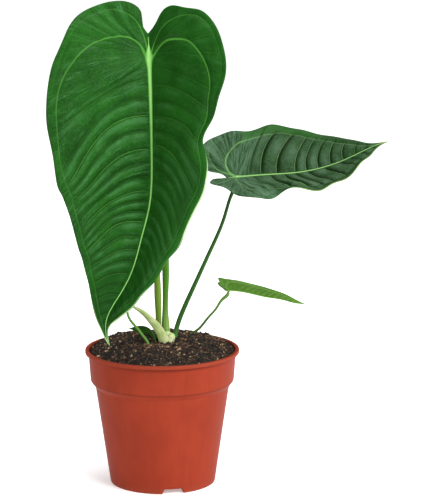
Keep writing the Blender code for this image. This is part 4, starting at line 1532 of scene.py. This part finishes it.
@dataclass
class Soil:
    """Mounded potting mix: a rough mass, loose crumbs and fibres."""

    inner: float = 65.4
    edge_z: float = 122.3
    rise: float = 9.4
    back_rise: float = 2.4
    hill_at: Pair = (-45.0, 40.0)
    hill_rise: float = 2.4
    hill_spread: float = 20.0
    base_z: float = 6.4
    base_radius: float = 46.0
    crumbs: int = 4200
    fibres: int = 520
    rings: int = 120
    turns: int = 420
    seed: int = 11

    def mound(self, x: Array, y: Array) -> Array:
        """Height of the smooth mound: a flattened dome, a back slope and a hill.

        Args:
            x: Places across.
            y: Places from front to back.

        Returns:
            Heights in millimetres.
        """
        reach = np.hypot(x, y) / 64.0
        away = np.hypot(x - self.hill_at[0], y - self.hill_at[1]) / self.hill_spread
        hill = self.hill_rise * np.exp(-away ** 2) * (1 - np.minimum(reach, 1.0) ** 8)
        return self.edge_z + self.rise * (1 - np.minimum(reach, 1.03) ** 3.5) \
            + self.back_rise * y / 70.0 + hill

    def clods(self, x: Array, y: Array) -> Array:
        """Lumps of three sizes on the mound, sharpest at the smallest.

        Args:
            x: Places across.
            y: Places from front to back.

        Returns:
            Heights above the mound.
        """
        big = lattice_noise(x + 500, y + 500, 9.0, self.seed)
        mid = lattice_noise(x + 500, y + 500, 4.0, self.seed + 1)
        fine = lattice_noise(x + 500, y + 500, 1.7, self.seed + 2)
        return 1.0 * big + 0.9 * mid - 0.7 * np.abs(fine) + 0.2

    def surface(self, x: Array, y: Array, r: Array) -> Array:
        """Height of the lumpy mound, with its lumps calmer near the wall."""
        calm = 1 - 0.6 * ease(60.0, self.inner, r)
        return self.mound(x, y) + self.clods(x, y) * calm

    def mass(self) -> Shape:
        """The soil as one closed round body with a rough top.

        Returns:
            The shape.
        """
        turn = np.linspace(0, 2 * pi, self.turns, endpoint=False)[None, :]
        share = np.linspace(0, 1, self.rings)[:, None]
        r = self.inner * np.sqrt(share * (0.35 + 0.65 * share))
        x, y = r * np.cos(turn), r * np.sin(turn)
        z = self.surface(x, y, r)
        z = np.where(r > 1e-6, z, z.mean(1, keepdims=True))
        top = np.stack([x, y, z], -1)
        depth = np.linspace(0, 1, 14)[1:, None]
        wall_r = self.inner + (self.base_radius - self.inner) * depth ** 0.8
        wall_z = z[-1:] * (1 - depth) + self.base_z * depth
        wall = np.stack([wall_r * np.cos(turn), wall_r * np.sin(turn), wall_z], -1)
        floor_r = self.base_radius * np.linspace(1, 0, 5)[1:, None]
        floor = np.stack([floor_r * np.cos(turn), floor_r * np.sin(turn),
                          np.full((4, self.turns), self.base_z)], -1)
        grid = np.concatenate([top, wall, floor])
        tone = 0.34 + 0.10 * lattice_noise(grid[..., 0] + 500, grid[..., 1] + 500, 5.0, 21)
        return Shape(grid.reshape(-1, 3), list(grid_quads(len(grid), self.turns, close=True)),
                     {"tone": tone.ravel()})

    def scatter(self, count: int, reach: float, seed: int) -> Tuple[Array, np.random.Generator]:
        """Places spread evenly over a disc, set on the mound.

        Args:
            count: How many.
            reach: Radius of the disc.
            seed: Seed of the draws.

        Returns:
            Points, and the generator for the draws that follow.
        """
        draw = np.random.default_rng(seed)
        r = reach * np.sqrt(draw.uniform(0, 1, count))
        turn = draw.uniform(0, 2 * pi, count)
        x, y = r * np.cos(turn), r * np.sin(turn)
        return np.stack([x, y, self.surface(x, y, r)], -1), draw

    def crumb_shape(self) -> Shape:
        """Loose crumbs: twenty-sided lumps, each stretched, turned and dented.

        Returns:
            The shape.
        """
        places, draw = self.scatter(self.crumbs, self.inner - 1.6, self.seed + 7)
        gold = (1 + 5 ** 0.5) / 2
        base = np.array([(-1, gold, 0), (1, gold, 0), (-1, -gold, 0), (1, -gold, 0),
                         (0, -1, gold), (0, 1, gold), (0, -1, -gold), (0, 1, -gold),
                         (gold, 0, -1), (gold, 0, 1), (-gold, 0, -1), (-gold, 0, 1)], float)
        base = unit(base)
        sides = np.array([(0, 11, 5), (0, 5, 1), (0, 1, 7), (0, 7, 10), (0, 10, 11), (1, 5, 9),
                          (5, 11, 4), (11, 10, 2), (10, 7, 6), (7, 1, 8), (3, 9, 4), (3, 4, 2),
                          (3, 2, 6), (3, 6, 8), (3, 8, 9), (4, 9, 5), (2, 4, 11), (6, 2, 10),
                          (8, 6, 7), (9, 8, 1)])
        size = 0.30 + 1.05 * draw.uniform(0, 1, self.crumbs) ** 2.6
        stretch = draw.uniform(0.55, 1.5, (self.crumbs, 1, 3))
        knobs = len(base)
        dent = 1 + draw.uniform(-0.25, 0.25, (self.crumbs, knobs, 1))
        spin = np.linalg.qr(draw.normal(size=(self.crumbs, 3, 3)))[0]
        lumps = base[None] * stretch * dent * size[:, None, None]
        lumps = np.einsum("nij,nkj->nki", spin, lumps)
        points = lumps + (places + np.array([0, 0, 0.15]) * size[:, None])[:, None, :]
        index = (np.arange(self.crumbs) * knobs)[:, None, None] + sides[None]
        tone = draw.uniform(0.22, 0.60, self.crumbs)
        pale = draw.uniform(0, 1, self.crumbs)
        tone = np.where(pale > 0.90, draw.uniform(0.70, 1.05, self.crumbs), tone)
        red = np.exp(-((places[:, 0] + 8) ** 2 + (places[:, 1] + 22) ** 2) / 14.0 ** 2)
        tone = tone + 0.20 * red
        return Shape(points.reshape(-1, 3), list(index.reshape(-1, 3)),
                     {"tone": np.repeat(tone, knobs)})

    def fibre_shape(self) -> Shape:
        """Short bent fibres: a three-sided tube along a random arc.

        Returns:
            The shape.
        """
        places, draw = self.scatter(self.fibres, self.inner - 5.0, self.seed + 9)
        steps, sides = 7, 3
        heading = draw.uniform(0, 2 * pi, self.fibres)[:, None]
        curl = draw.uniform(-1.3, 1.3, self.fibres)[:, None]
        length = draw.uniform(2.0, 9.0, self.fibres)[:, None]
        t = np.linspace(-0.5, 0.5, steps)[None, :]
        x = places[:, :1] + length * t * np.cos(heading + curl * t)
        y = places[:, 1:2] + length * t * np.sin(heading + curl * t)
        z = self.mound(x, y) + self.clods(x, y) + 0.5 \
            + draw.uniform(0, 1.0, self.fibres)[:, None] * (1 - 4 * t * t)
        middle = np.stack([x, y, z], -1)
        along = unit(np.gradient(middle, axis=1))
        side = unit(np.cross(along, np.array(UPRIGHT)))
        other = np.cross(along, side)
        thick = draw.uniform(0.06, 0.16, self.fibres)[:, None, None, None] \
            * (1 - 0.7 * (2 * np.abs(t)) ** 3)[..., None, None]
        turn = np.linspace(0, 2 * pi, sides, endpoint=False)[None, None, :, None]
        points = middle[:, :, None] + thick * (side[:, :, None] * np.cos(turn)
                                               + other[:, :, None] * np.sin(turn))
        ring = grid_quads(steps, sides, close=True)
        first = np.arange(self.fibres) * steps * sides
        faces = [tuple(f) for f in (first[:, None, None] + ring[None]).reshape(-1, 4)]
        for end in (0, (steps - 1) * sides):
            faces += [(f + end, f + end + 1, f + end + 2) for f in first]
        tone = draw.uniform(0.62, 1.05, self.fibres)
        return Shape(points.reshape(-1, 3), faces, {"tone": np.repeat(tone, steps * sides)})

    def build(self) -> None:
        """Make the mass, the crumbs and the fibres."""
        make_piece("soil_mass", self.mass(), SoilFinish("soil_mass").material(), ("soil",))
        make_piece("soil_crumbs", self.crumb_shape(), SoilFinish("soil_crumb").material(),
                   weld=0.0, smooth=False)
        make_piece("soil_fibres", self.fibre_shape(), SoilFinish("soil_fibre").material(),
                   weld=0.0)


# ------------------------------------------------------------- the one plant

LARGE_FINISH = LeafFinish(
    "large_leaf_green", deep=(0.0036, 0.044, 0.0018), fresh=(0.0095, 0.090, 0.0045),
    sheen=(0.048, 0.175, 0.050), vein=(0.070, 0.270, 0.035), rib=(0.28, 0.60, 0.16),
    under=(0.045, 0.150, 0.030), under_vein=(0.13, 0.32, 0.08), rim=(0.03, 0.12, 0.015),
    tip=(0.55, 0.66, 0.40), sheen_share=0.60, sheen_patches=0.6,
    right_calm_and_shade=0.55, sheen_and_shade_streaks=0.9, tip_shade=0.6)
MEDIUM_FINISH = LeafFinish(
    "medium_leaf_green", deep=(0.004, 0.024, 0.004), fresh=(0.010, 0.044, 0.008),
    sheen=(0.050, 0.100, 0.056), vein=(0.15, 0.34, 0.10), rib=(0.27, 0.52, 0.15),
    under=(0.045, 0.130, 0.030), under_vein=(0.14, 0.30, 0.09), rim=(0.04, 0.12, 0.02),
    tip=(0.20, 0.13, 0.04), vein_strength=0.55, roughness=0.42,
    gloss=0.08, sheen_share=0.95, sheen_from=(0.25, 0.60), sheen_to=(0.93, 1.0),
    shade_from=(0.0, 0.03), shade_to=(0.08, 0.34), shade_share=0.85, tip_shade=0.1,
    strip=(0.024, 0.110, 0.016), lit_strip_share=0.75, pale=(0.20, 0.34, 0.07),
    tip_from=0.93, lobe_sheen=0.95)
SMALL_FINISH = LeafFinish(
    "young_leaf_green", deep=(0.035, 0.13, 0.008), fresh=(0.055, 0.18, 0.014),
    sheen=(0.09, 0.22, 0.04), vein=(0.14, 0.32, 0.06), rib=(0.22, 0.40, 0.09),
    under=(0.060, 0.160, 0.014), under_vein=(0.12, 0.26, 0.05), rim=(0.035, 0.11, 0.012),
    tip=(0.30, 0.34, 0.10), vein_strength=0.5, roughness=0.45)


def large_leaf() -> Leaf:
    """The tall front leaf."""
    return Leaf(
        "large_leaf_blade",
        midrib=[(-13.0, 6.0, 437.5), (-9.5, -20.0, 394.5), (-7.5, -31.0, 342.0),
                (-7.0, -35.0, 300.0), (-9.5, -36.0, 261.5), (-16.5, -36.0, 233.5),
                (-25.5, -34.5, 202.5), (-37.0, -33.0, 180.0), (-49.0, -30.0, 156.0),
                (-49.5, -28.0, 144.5), (-46.5, -26.0, 132.0)],
        joint=1, facing=(-0.208, -0.978, 0.0),
        fold=[(-60, 26, 28), (0, 28, 34), (40, 28, 45), (75, 27, 52), (100, 26, 52),
              (150, 25, 50), (270, 22, 40)],
        flatten=(-0.0018, -0.006),
        left=[(-19, 0), (-27, 4.5), (-40, 5), (-48, 11), (-51.5, 23), (-48, 43), (-38, 62),
              (-16, 75), (7, 86), (32, 92), (61, 93), (87, 88.5), (128, 82.5), (150, 74),
              (168, 62.5), (212, 41), (236, 20), (249, 9), (258, 4), (266, 2), (273.1, 0)],
        right=[(-19, 0), (-23, 7), (-31.5, 16), (-34.5, 28), (-28, 43), (-23, 57), (-11, 70),
               (8, 81), (36, 84), (60, 75.5), (76, 72), (97, 76.5), (109, 74), (124, 64),
               (147, 53.5), (173, 40), (200, 27), (220, 20), (237, 13.5), (250, 6.5),
               (258, 3.2), (266, 1.8), (273.1, 0)],
        finish=LARGE_FINISH,
        inner={Hand.LEFT: [(7, 1.5), (0, 4.2), (-8, 7.5), (-13, 13), (-16, 21), (-16, 28),
                           (-11, 48), (3, 65), (19, 77), (42, 84), (66, 84), (97, 81),
                           (115, 77), (139, 70), (153, 65), (168, 56), (182, 49), (200, 40),
                           (214, 33), (227, 22), (238, 12), (250, 4), (262, 1)],
               Hand.RIGHT: [(7, 1.5), (2, 5.5), (-3, 12), (-6, 22), (-5, 34), (-2, 44),
                            (5, 54), (16, 64), (33, 71.5), (52, 71), (66, 68), (80, 66),
                            (97, 69), (109, 66), (124, 56), (147, 46), (173, 34), (200, 22),
                            (220, 15), (240, 8), (252, 3), (262, 1)]},
        outer={Hand.LEFT: [(4, 1.5), (-7, 2.2), (-20, 5), (-30, 9), (-38, 17), (-42, 26),
                           (-43, 34), (-41, 42), (-35, 54), (-24, 65), (-10, 73), (6, 80),
                           (28, 87)],
               Hand.RIGHT: [(4, 1.5), (-4, 4.5), (-13, 10.5), (-19, 19), (-22, 29), (-22, 41),
                            (-19, 53), (-13, 62), (0, 72), (16, 79), (32, 80), (50, 77)]},
        lag={Hand.LEFT: (0.55, 1.0), Hand.RIGHT: (0.32, 0.7)},
        sweep={Hand.LEFT: 1.8, Hand.RIGHT: 2.0},
        ribs={Hand.LEFT: [(22, 0.8), (54, 1.0), (84, 1.0), (121, 0.8), (150, 0.9), (176, 0.6),
                          (200, 0.5), (222, 0.4)],
              Hand.RIGHT: [(12, 0.7), (28, 0.7), (55, 0.5), (80, 0.8), (112, 0.3),
                           (140, 0.3), (172, 0.3), (204, 0.3)]},
        spacing=13.5, quilt=2.5, curl={Hand.LEFT: (1.0, 0.8), Hand.RIGHT: (1.0, 3.0)},
        puff={Hand.LEFT: 1.0, Hand.RIGHT: 0.20},
        lit_strip_run={Hand.RIGHT: [(70, 0), (84, 1), (225, 1), (240, 0)]},
        pale_rim={Hand.LEFT: [(236, 0), (256, 0.9)],
                  Hand.RIGHT: [(84, 0), (98, 1), (146, 1), (160, 0.1), (196, 0.0), (214, 0.8),
                               (240, 0.9)]},
        rib_width=(3.1, 0.6), rows=(90, 290), columns=58, seed=3)


def medium_leaf() -> Leaf:
    """The side leaf that points right."""
    return Leaf(
        "medium_leaf_blade",
        midrib=[(37.5, 0.0, 280.0), (66.5, 0.0, 281.0), (88.0, 2.0, 282.5),
                (110.0, 4.0, 283.5), (129.0, 5.0, 285.5), (143.5, 6.0, 288.5),
                (164.0, 7.0, 295.5), (181.0, 8.0, 303.5), (190.5, 8.0, 308.0),
                (203.5, 8.0, 312.5)],
        joint=1, facing=(0.0, -0.545, 0.839),
        fold=[(-40, 21, 22), (0, 21, 22), (120, 20, 20), (150, 10, 10)],
        flatten=(-0.002, -0.003),
        left=[(-8, 0), (-14, 0.6), (-20, 1.6), (-23, 6.5), (-17, 12), (-10, 17.5), (-4, 28),
              (2, 38), (10, 46.5), (23, 49.5), (34, 42), (45, 34), (57, 35.5), (70, 40),
              (84, 35.5), (97, 30), (111, 21.5), (121, 13), (130, 6), (136, 2.2), (142.5, 0)],
        right=[(-8, 0), (-11, 3), (-17, 5.5), (-25, 8.5), (-31, 19), (-28, 38), (-16, 46.5),
               (4, 49.5), (18, 50), (26, 52), (36, 54), (48, 52.5), (64, 46), (84, 36),
               (103, 25), (118, 12.5), (128, 4), (136, 1.4), (142.5, 0)],
        finish=MEDIUM_FINISH,
        inner={Hand.LEFT: [(0, 0), (1, 6), (5, 17), (12, 26), (22, 31.5), (34, 31),
                           (47, 28.5), (61, 31), (72, 32), (85, 28), (98, 22), (113, 13),
                           (124, 6), (134, 1)],
               Hand.RIGHT: [(0, 0), (-5, 6), (-8, 13), (-7, 22), (-3, 28), (5, 34), (12, 37),
                            (24, 41), (41, 43), (54, 41), (68, 36), (82, 30), (96, 22),
                            (107, 15), (118, 7), (126, 2), (134, 0.6)]},
        outer={Hand.LEFT: [(0, 0), (-4, 3), (-9, 7), (-11, 11), (-5, 21), (3, 33), (12, 40),
                           (24, 42), (34, 36), (46, 31)],
               Hand.RIGHT: [(0, 0), (-6, 4), (-13, 7), (-20, 14), (-24, 22), (-24, 30),
                            (-21, 36), (-14, 41), (0, 45.5), (16, 47), (30, 50)]},
        lag={Hand.LEFT: (0.6, 0.7), Hand.RIGHT: (0.40, 0.60)},
        sweep={Hand.LEFT: 0.7, Hand.RIGHT: 1.3},
        ribs={Hand.LEFT: [(14, 0.8), (30, 0.9), (43, 0.8), (64, 0.7), (80, 0.5), (95, 0.4)],
              Hand.RIGHT: [(12, 0.7), (23, 0.9), (37, 0.9), (54, 0.8), (64, 0.8), (75, 0.8),
                           (87, 0.7), (99, 0.6), (111, 0.4)]},
        spacing=14.0, quilt=2.3, curl={Hand.LEFT: (0.6, 0.4), Hand.RIGHT: (2.0, 1.2)},
        vein_fade=55.0, puff={Hand.LEFT: 0.7, Hand.RIGHT: 1.1}, lobe_calm=0.45,
        lit_strip_run={Hand.RIGHT: [(8, 0), (17, 1), (75, 1), (95, 0)]},
        pale_rim={Hand.LEFT: [(42, 0), (56, 0.8), (110, 0.8), (130, 0.3)],
                  Hand.RIGHT: [(0, 0), (1, 0)]},
        vein_show={Hand.LEFT: 0.3, Hand.RIGHT: 1.0},
        rib_width=(1.3, 0.40), rib_height=0.55, keel=1.2, thickness=0.5,
        rows=(70, 150), columns=44, seed=8)


def small_leaf() -> Leaf:
    """The young leaf low on the right, seen from its side."""
    left = [(-2.5, 0), (-4.5, 5), (-7, 11.5), (-7.8, 17.5), (-4, 16), (6, 13.2), (17, 11.6),
            (34, 11.2), (51, 7.8), (64, 4), (72.5, 0)]
    right = [(-2.5, 0), (-4.5, 5), (-7, 11), (-7, 15.5), (-2, 15.5), (6, 15), (17, 14),
             (34, 12), (51, 7.8), (64, 4), (72.5, 0)]
    vein = [(0, 0), (-1.5, 4), (-2, 8), (1, 10.5), (8, 10.4), (20, 9.6), (34, 8.6), (50, 5.6),
            (63, 2.4), (70, 0.6)]
    second = [(0, 0), (-2.5, 4), (-4.5, 9), (-5, 13), (-1, 13.6), (8, 12.2), (20, 11)]
    return Leaf(
        "small_leaf_blade",
        midrib=[(51.0, 37.0, 168.0), (60.0, 38.0, 169.0), (73.0, 39.0, 168.0),
                (83.5, 40.0, 165.5), (95.5, 41.0, 162.5), (110.5, 41.0, 160.0),
                (121.5, 41.0, 157.0), (131.0, 41.0, 156.0)],
        joint=1, facing=(0.0, 0.34, 0.94), fold=[(-20, 45, 45), (0, 45, 45), (80, 42, 42)],
        flatten=(-0.004, -0.004), left=left, right=right, finish=SMALL_FINISH,
        inner=both(vein), outer=both(second),
        lag=both((0.9, 0.9)), sweep=both(0.5), spacing=6.0, quilt=0.35, bow=0.0,
        rib_width=(0.9, 0.3), rib_height=0.3, keel=0.7, thickness=0.45, rows=(40, 90),
        columns=26, seed=5)


def seedling_leaf() -> Leaf:
    """The little leaf on the thin left stem, behind the large one."""
    outline = [(-2.2, 0), (-5, 3), (-6.5, 7), (-4, 11), (2, 13), (9, 12), (17, 9), (26, 4),
               (34.4, 0)]
    vein = [(0, 0), (-2, 4), (-1, 8), (4, 10), (10, 9.4), (17, 6.8), (25, 3), (32, 0.6)]
    second = [(0, 0), (-3, 3.4), (-4.6, 7), (-2, 10), (3, 11.6)]
    return Leaf(
        "seedling_leaf_blade",
        midrib=[(-32.0, 3.0, 209.0), (-35.5, -1.0, 203.0), (-41.0, -5.5, 194.0),
                (-46.5, -8.5, 184.0), (-51.5, -9.5, 173.5)],
        joint=1, facing=(-0.45, -0.85, 0.25), fold=[(-10, 20, 20), (0, 20, 20), (40, 14, 14)],
        flatten=(-0.005, -0.005), left=outline, right=outline, finish=SMALL_FINISH,
        inner=both(vein), outer=both(second),
        spacing=4.5, quilt=0.25, bow=0.0, rib_width=(0.8, 0.3), rib_height=0.25, keel=0.6,
        thickness=0.4, rows=(30, 60), columns=24, seed=6)


@dataclass
class Plant:
    """Everything that grows: blades, stems, sheaths and crown."""

    large: Leaf = field(default_factory=large_leaf)
    medium: Leaf = field(default_factory=medium_leaf)
    small: Leaf = field(default_factory=small_leaf)
    seedling: Leaf = field(default_factory=seedling_leaf)

    def stems(self) -> List[Stem]:
        """The leaf stems and the new shoot.

        Returns:
            The stems, each with its path, radii and finish.
        """
        return [
            Stem("large_leaf_stem",
                 [(3.0, 0.0, 133.0), (3.1, 0.0, 142.0), (2.9, 1.0, 155.5), (3.3, 4.0, 186.0),
                  (2.5, 7.0, 225.0), (0.0, 8.0, 280.0), (-4.0, 6.0, 335.0),
                  (-6.6, 0.0, 372.0)],
                 [4.0, 3.9, 2.85, 3.05, 3.0, 2.9, 2.8, 2.8, 2.9, 2.6],
                 StemFinish("large_stem_green", low=(0.24, 0.38, 0.09), mid=(0.055, 0.185, 0.008),
                            high=(0.05, 0.17, 0.012), streak=(0.028, 0.110, 0.006)),
                 self.large, 9.0, 1.0, rings=260),
            Stem("new_shoot",
                 [(-4.4, -1.8, 133.0), (-3.6, -1.8, 144.0), (-3.3, -1.5, 155.5),
                  (-3.7, -1.0, 168.5), (-4.2, 0.0, 186.0), (-5.0, 1.0, 214.0),
                  (-4.5, 1.5, 246.0)],
                 [2.6, 2.65, 2.75, 3.15, 3.05, 2.2, 0.5],
                 StemFinish("shoot_green", low=(0.10, 0.22, 0.022), mid=(0.14, 0.235, 0.024),
                            high=(0.125, 0.225, 0.030), streak=(0.066, 0.158, 0.010)),
                 flutes=0.04, rings=140),
            Stem("medium_leaf_stem",
                 [(10.9, 4.0, 131.5), (12.6, 4.6, 139.5), (22.8, 4.0, 167.0),
                  (33.3, 3.0, 190.5), (42.65, 2.0, 211.5), (57.0, 1.5, 246.5),
                  (62.8, 2.2, 265.0)],
                 [2.25, 2.2, 2.1, 1.9, 1.77, 1.55, 1.6, 1.75, 1.65],
                 StemFinish("medium_stem_green", low=(0.08, 0.20, 0.05), mid=(0.028, 0.105, 0.016),
                            high=(0.03, 0.10, 0.015), streak=(0.015, 0.055, 0.008),
                            pale_to=0.10),
                 self.medium, 7.0, 0.9, rings=200),
            Stem("small_leaf_stem",
                 [(21.5, 26.5, 126.5), (24.6, 27.2, 129.5), (32.0, 28.0, 134.5),
                  (41.7, 30.0, 145.5), (49.0, 32.2, 153.5), (55.6, 35.2, 162.3)],
                 [1.3, 1.25, 1.2, 1.15, 1.15, 1.4, 1.35, 1.1],
                 StemFinish("small_stem_green", low=(0.10, 0.17, 0.04), mid=(0.060, 0.125, 0.024),
                            high=(0.13, 0.26, 0.05), streak=(0.03, 0.08, 0.015)),
                 self.small, 1.3, 0.7, rings=120, sides=24),
            Stem("seedling_leaf_stem",
                 [(-11.5, -12.6, 128.0), (-13.6, -12.2, 133.4), (-16.9, -12.0, 137.8),
                  (-21.5, -11.5, 144.0), (-26.5, -10.0, 149.5), (-30.0, -8.0, 154.5),
                  (-31.6, -5.0, 163.0), (-33.0, 0.0, 182.0), (-34.2, 1.5, 196.0)],
                 [1.15, 1.15, 1.15, 1.2, 1.25, 1.2, 1.1, 1.0, 0.9, 0.85, 0.75],
                 StemFinish("seedling_stem_green", low=(0.14, 0.30, 0.07),
                            mid=(0.11, 0.27, 0.045), high=(0.13, 0.31, 0.055),
                            streak=(0.06, 0.18, 0.025)),
                 self.seedling, 4.0, 0.6, rings=140, sides=24),
        ]

    def straps(self) -> List[Strap]:
        """The pale sheath leaf and the low dark leaf.

        Returns:
            The straps, each with its path, sizes and finish.
        """
        return [
            Strap("sheath_leaf",
                  [(1.8, -10.3, 131.5), (-1.4, -11.3, 141.0), (-8.0, -12.0, 150.5),
                   (-15.0, -12.4, 158.0), (-22.0, -12.3, 163.0), (-27.5, -12.0, 165.8)],
                  [4.2, 4.3, 3.6, 2.65, 1.8, 0.8], [1.3, 1.3, 1.0, 0.8, 0.6, 0.2],
                  (0.65, -0.2, 0.75),
                  SheathFinish("sheath_tissue", (0.50, 0.56, 0.25), (0.29, 0.43, 0.12),
                               (0.46, 0.34, 0.24)), hollow=0.22, ribs=7),
            Strap("low_leaf",
                  [(-6.0, -7.8, 128.0), (-6.2, -7.3, 133.7), (-8.8, -5.6, 138.5),
                   (-14.0, -4.2, 141.9), (-22.0, -3.2, 142.9), (-30.0, -2.4, 142.6)],
                  [1.3, 2.0, 3.4, 4.4, 3.4, 0.3], [0.6, 0.5, 0.45, 0.4, 0.4, 0.2],
                  (0.1, 0.45, -0.89),
                  StemFinish("low_leaf_green", low=(0.08, 0.19, 0.04), mid=(0.050, 0.150, 0.020),
                             high=(0.03, 0.11, 0.014), streak=(0.010, 0.045, 0.006)),
                  hollow=0.25, ribs=3),
        ]

    def build(self) -> None:
        """Make and dress every piece of the plant."""
        for leaf in (self.large, self.medium, self.small, self.seedling):
            leaf.build()
        for stem in self.stems():
            stem.build()
        for strap in self.straps():
            strap.build()
        Crown().build()


@dataclass
class Studio:
    """Pale floor, bright surround, soft lights and the camera."""

    camera_at: Point = (0.0503, -2.1, 0.6286)
    camera_pitch: float = 0.1935
    lens: float = 172.5
    surround: float = 0.12
    lights: Sequence[Tuple[str, Point, Point, float, Pair]] = (
        ("key", (1.45, -1.55, 1.55), (0.0, 0.0, 0.24), 62.0, (1.2, 1.2)),
        ("strip", (1.6, -0.12, 0.35), (0.0, 0.0, 0.2), 12.0, (0.16, 1.0)),
        ("fill", (-1.5, -2.0, 1.1), (0.0, 0.0, 0.24), 26.0, (1.0, 1.0)),
        ("top", (-0.1, 0.3, 2.2), (0.0, 0.0, 0.24), 24.0, (0.9, 0.9)),
    )

    def floor(self) -> None:
        """A wide pale floor at the pot's foot."""
        mesh = bpy.data.meshes.new("floor")
        size = 8.0
        mesh.from_pydata([(-size, -size, 0), (size, -size, 0), (size, size, 0),
                          (-size, size, 0)], [], [(0, 1, 2, 3)])
        mesh.materials.append(FloorFinish().material())
        obj = bpy.data.objects.new("floor", mesh)
        bpy.context.scene.collection.objects.link(obj)
        obj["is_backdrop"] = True

    def world(self) -> None:
        """An even white surround."""
        world = bpy.data.worlds.new("surround")
        world.use_nodes = True
        back = world.node_tree.nodes["Background"]
        back.inputs["Color"].default_value = (1.0, 1.0, 1.0, 1.0)
        back.inputs["Strength"].default_value = self.surround
        bpy.context.scene.world = world

    def lamp(self, name: str, at: Point, aim: Point, power: float, size: Pair) -> None:
        """A flat soft light turned to a point.

        Args:
            name: Its name.
            at: Where it stands, in metres.
            aim: Point it is turned to.
            power: Its power in watts.
            size: Its width and height in metres.
        """
        light = bpy.data.lights.new(name, "AREA")
        light.shape = "RECTANGLE"
        light.energy = power
        light.size, light.size_y = size
        obj = bpy.data.objects.new(name, light)
        obj.location = at
        way = np.asarray(aim, float) - np.asarray(at, float)
        obj.rotation_euler = Vector(way).to_track_quat("-Z", "Y").to_euler()
        bpy.context.scene.collection.objects.link(obj)

    def camera(self) -> None:
        """The camera, without roll and pitched a little down."""
        data = bpy.data.cameras.new("camera")
        data.lens = self.lens
        data.sensor_width = 36.0
        data.clip_end = 50.0
        obj = bpy.data.objects.new("camera", data)
        obj.location = self.camera_at
        obj.rotation_euler = (pi / 2 - self.camera_pitch, 0.0, 0.0)
        bpy.context.scene.collection.objects.link(obj)
        bpy.context.scene.camera = obj

    def build(self) -> None:
        """Set the stage."""
        self.floor()
        self.world()
        for name, at, aim, power, size in self.lights:
            self.lamp(name, at, aim, power, size)
        self.camera()
        bpy.context.scene.view_settings.view_transform = "Standard"


def corners() -> List[List[float]]:
    """The whole object's box as plain lists."""
    return [[float(c) for c in corner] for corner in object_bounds()]


def main() -> None:
    """Build the looks round the frame, in order."""
    logging.basicConfig(level=logging.INFO, format="%(name)s: %(message)s")
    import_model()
    Studio().build()
    Pot().build()
    Soil().build()
    Plant().build()


if __name__ == "__main__":
    main()
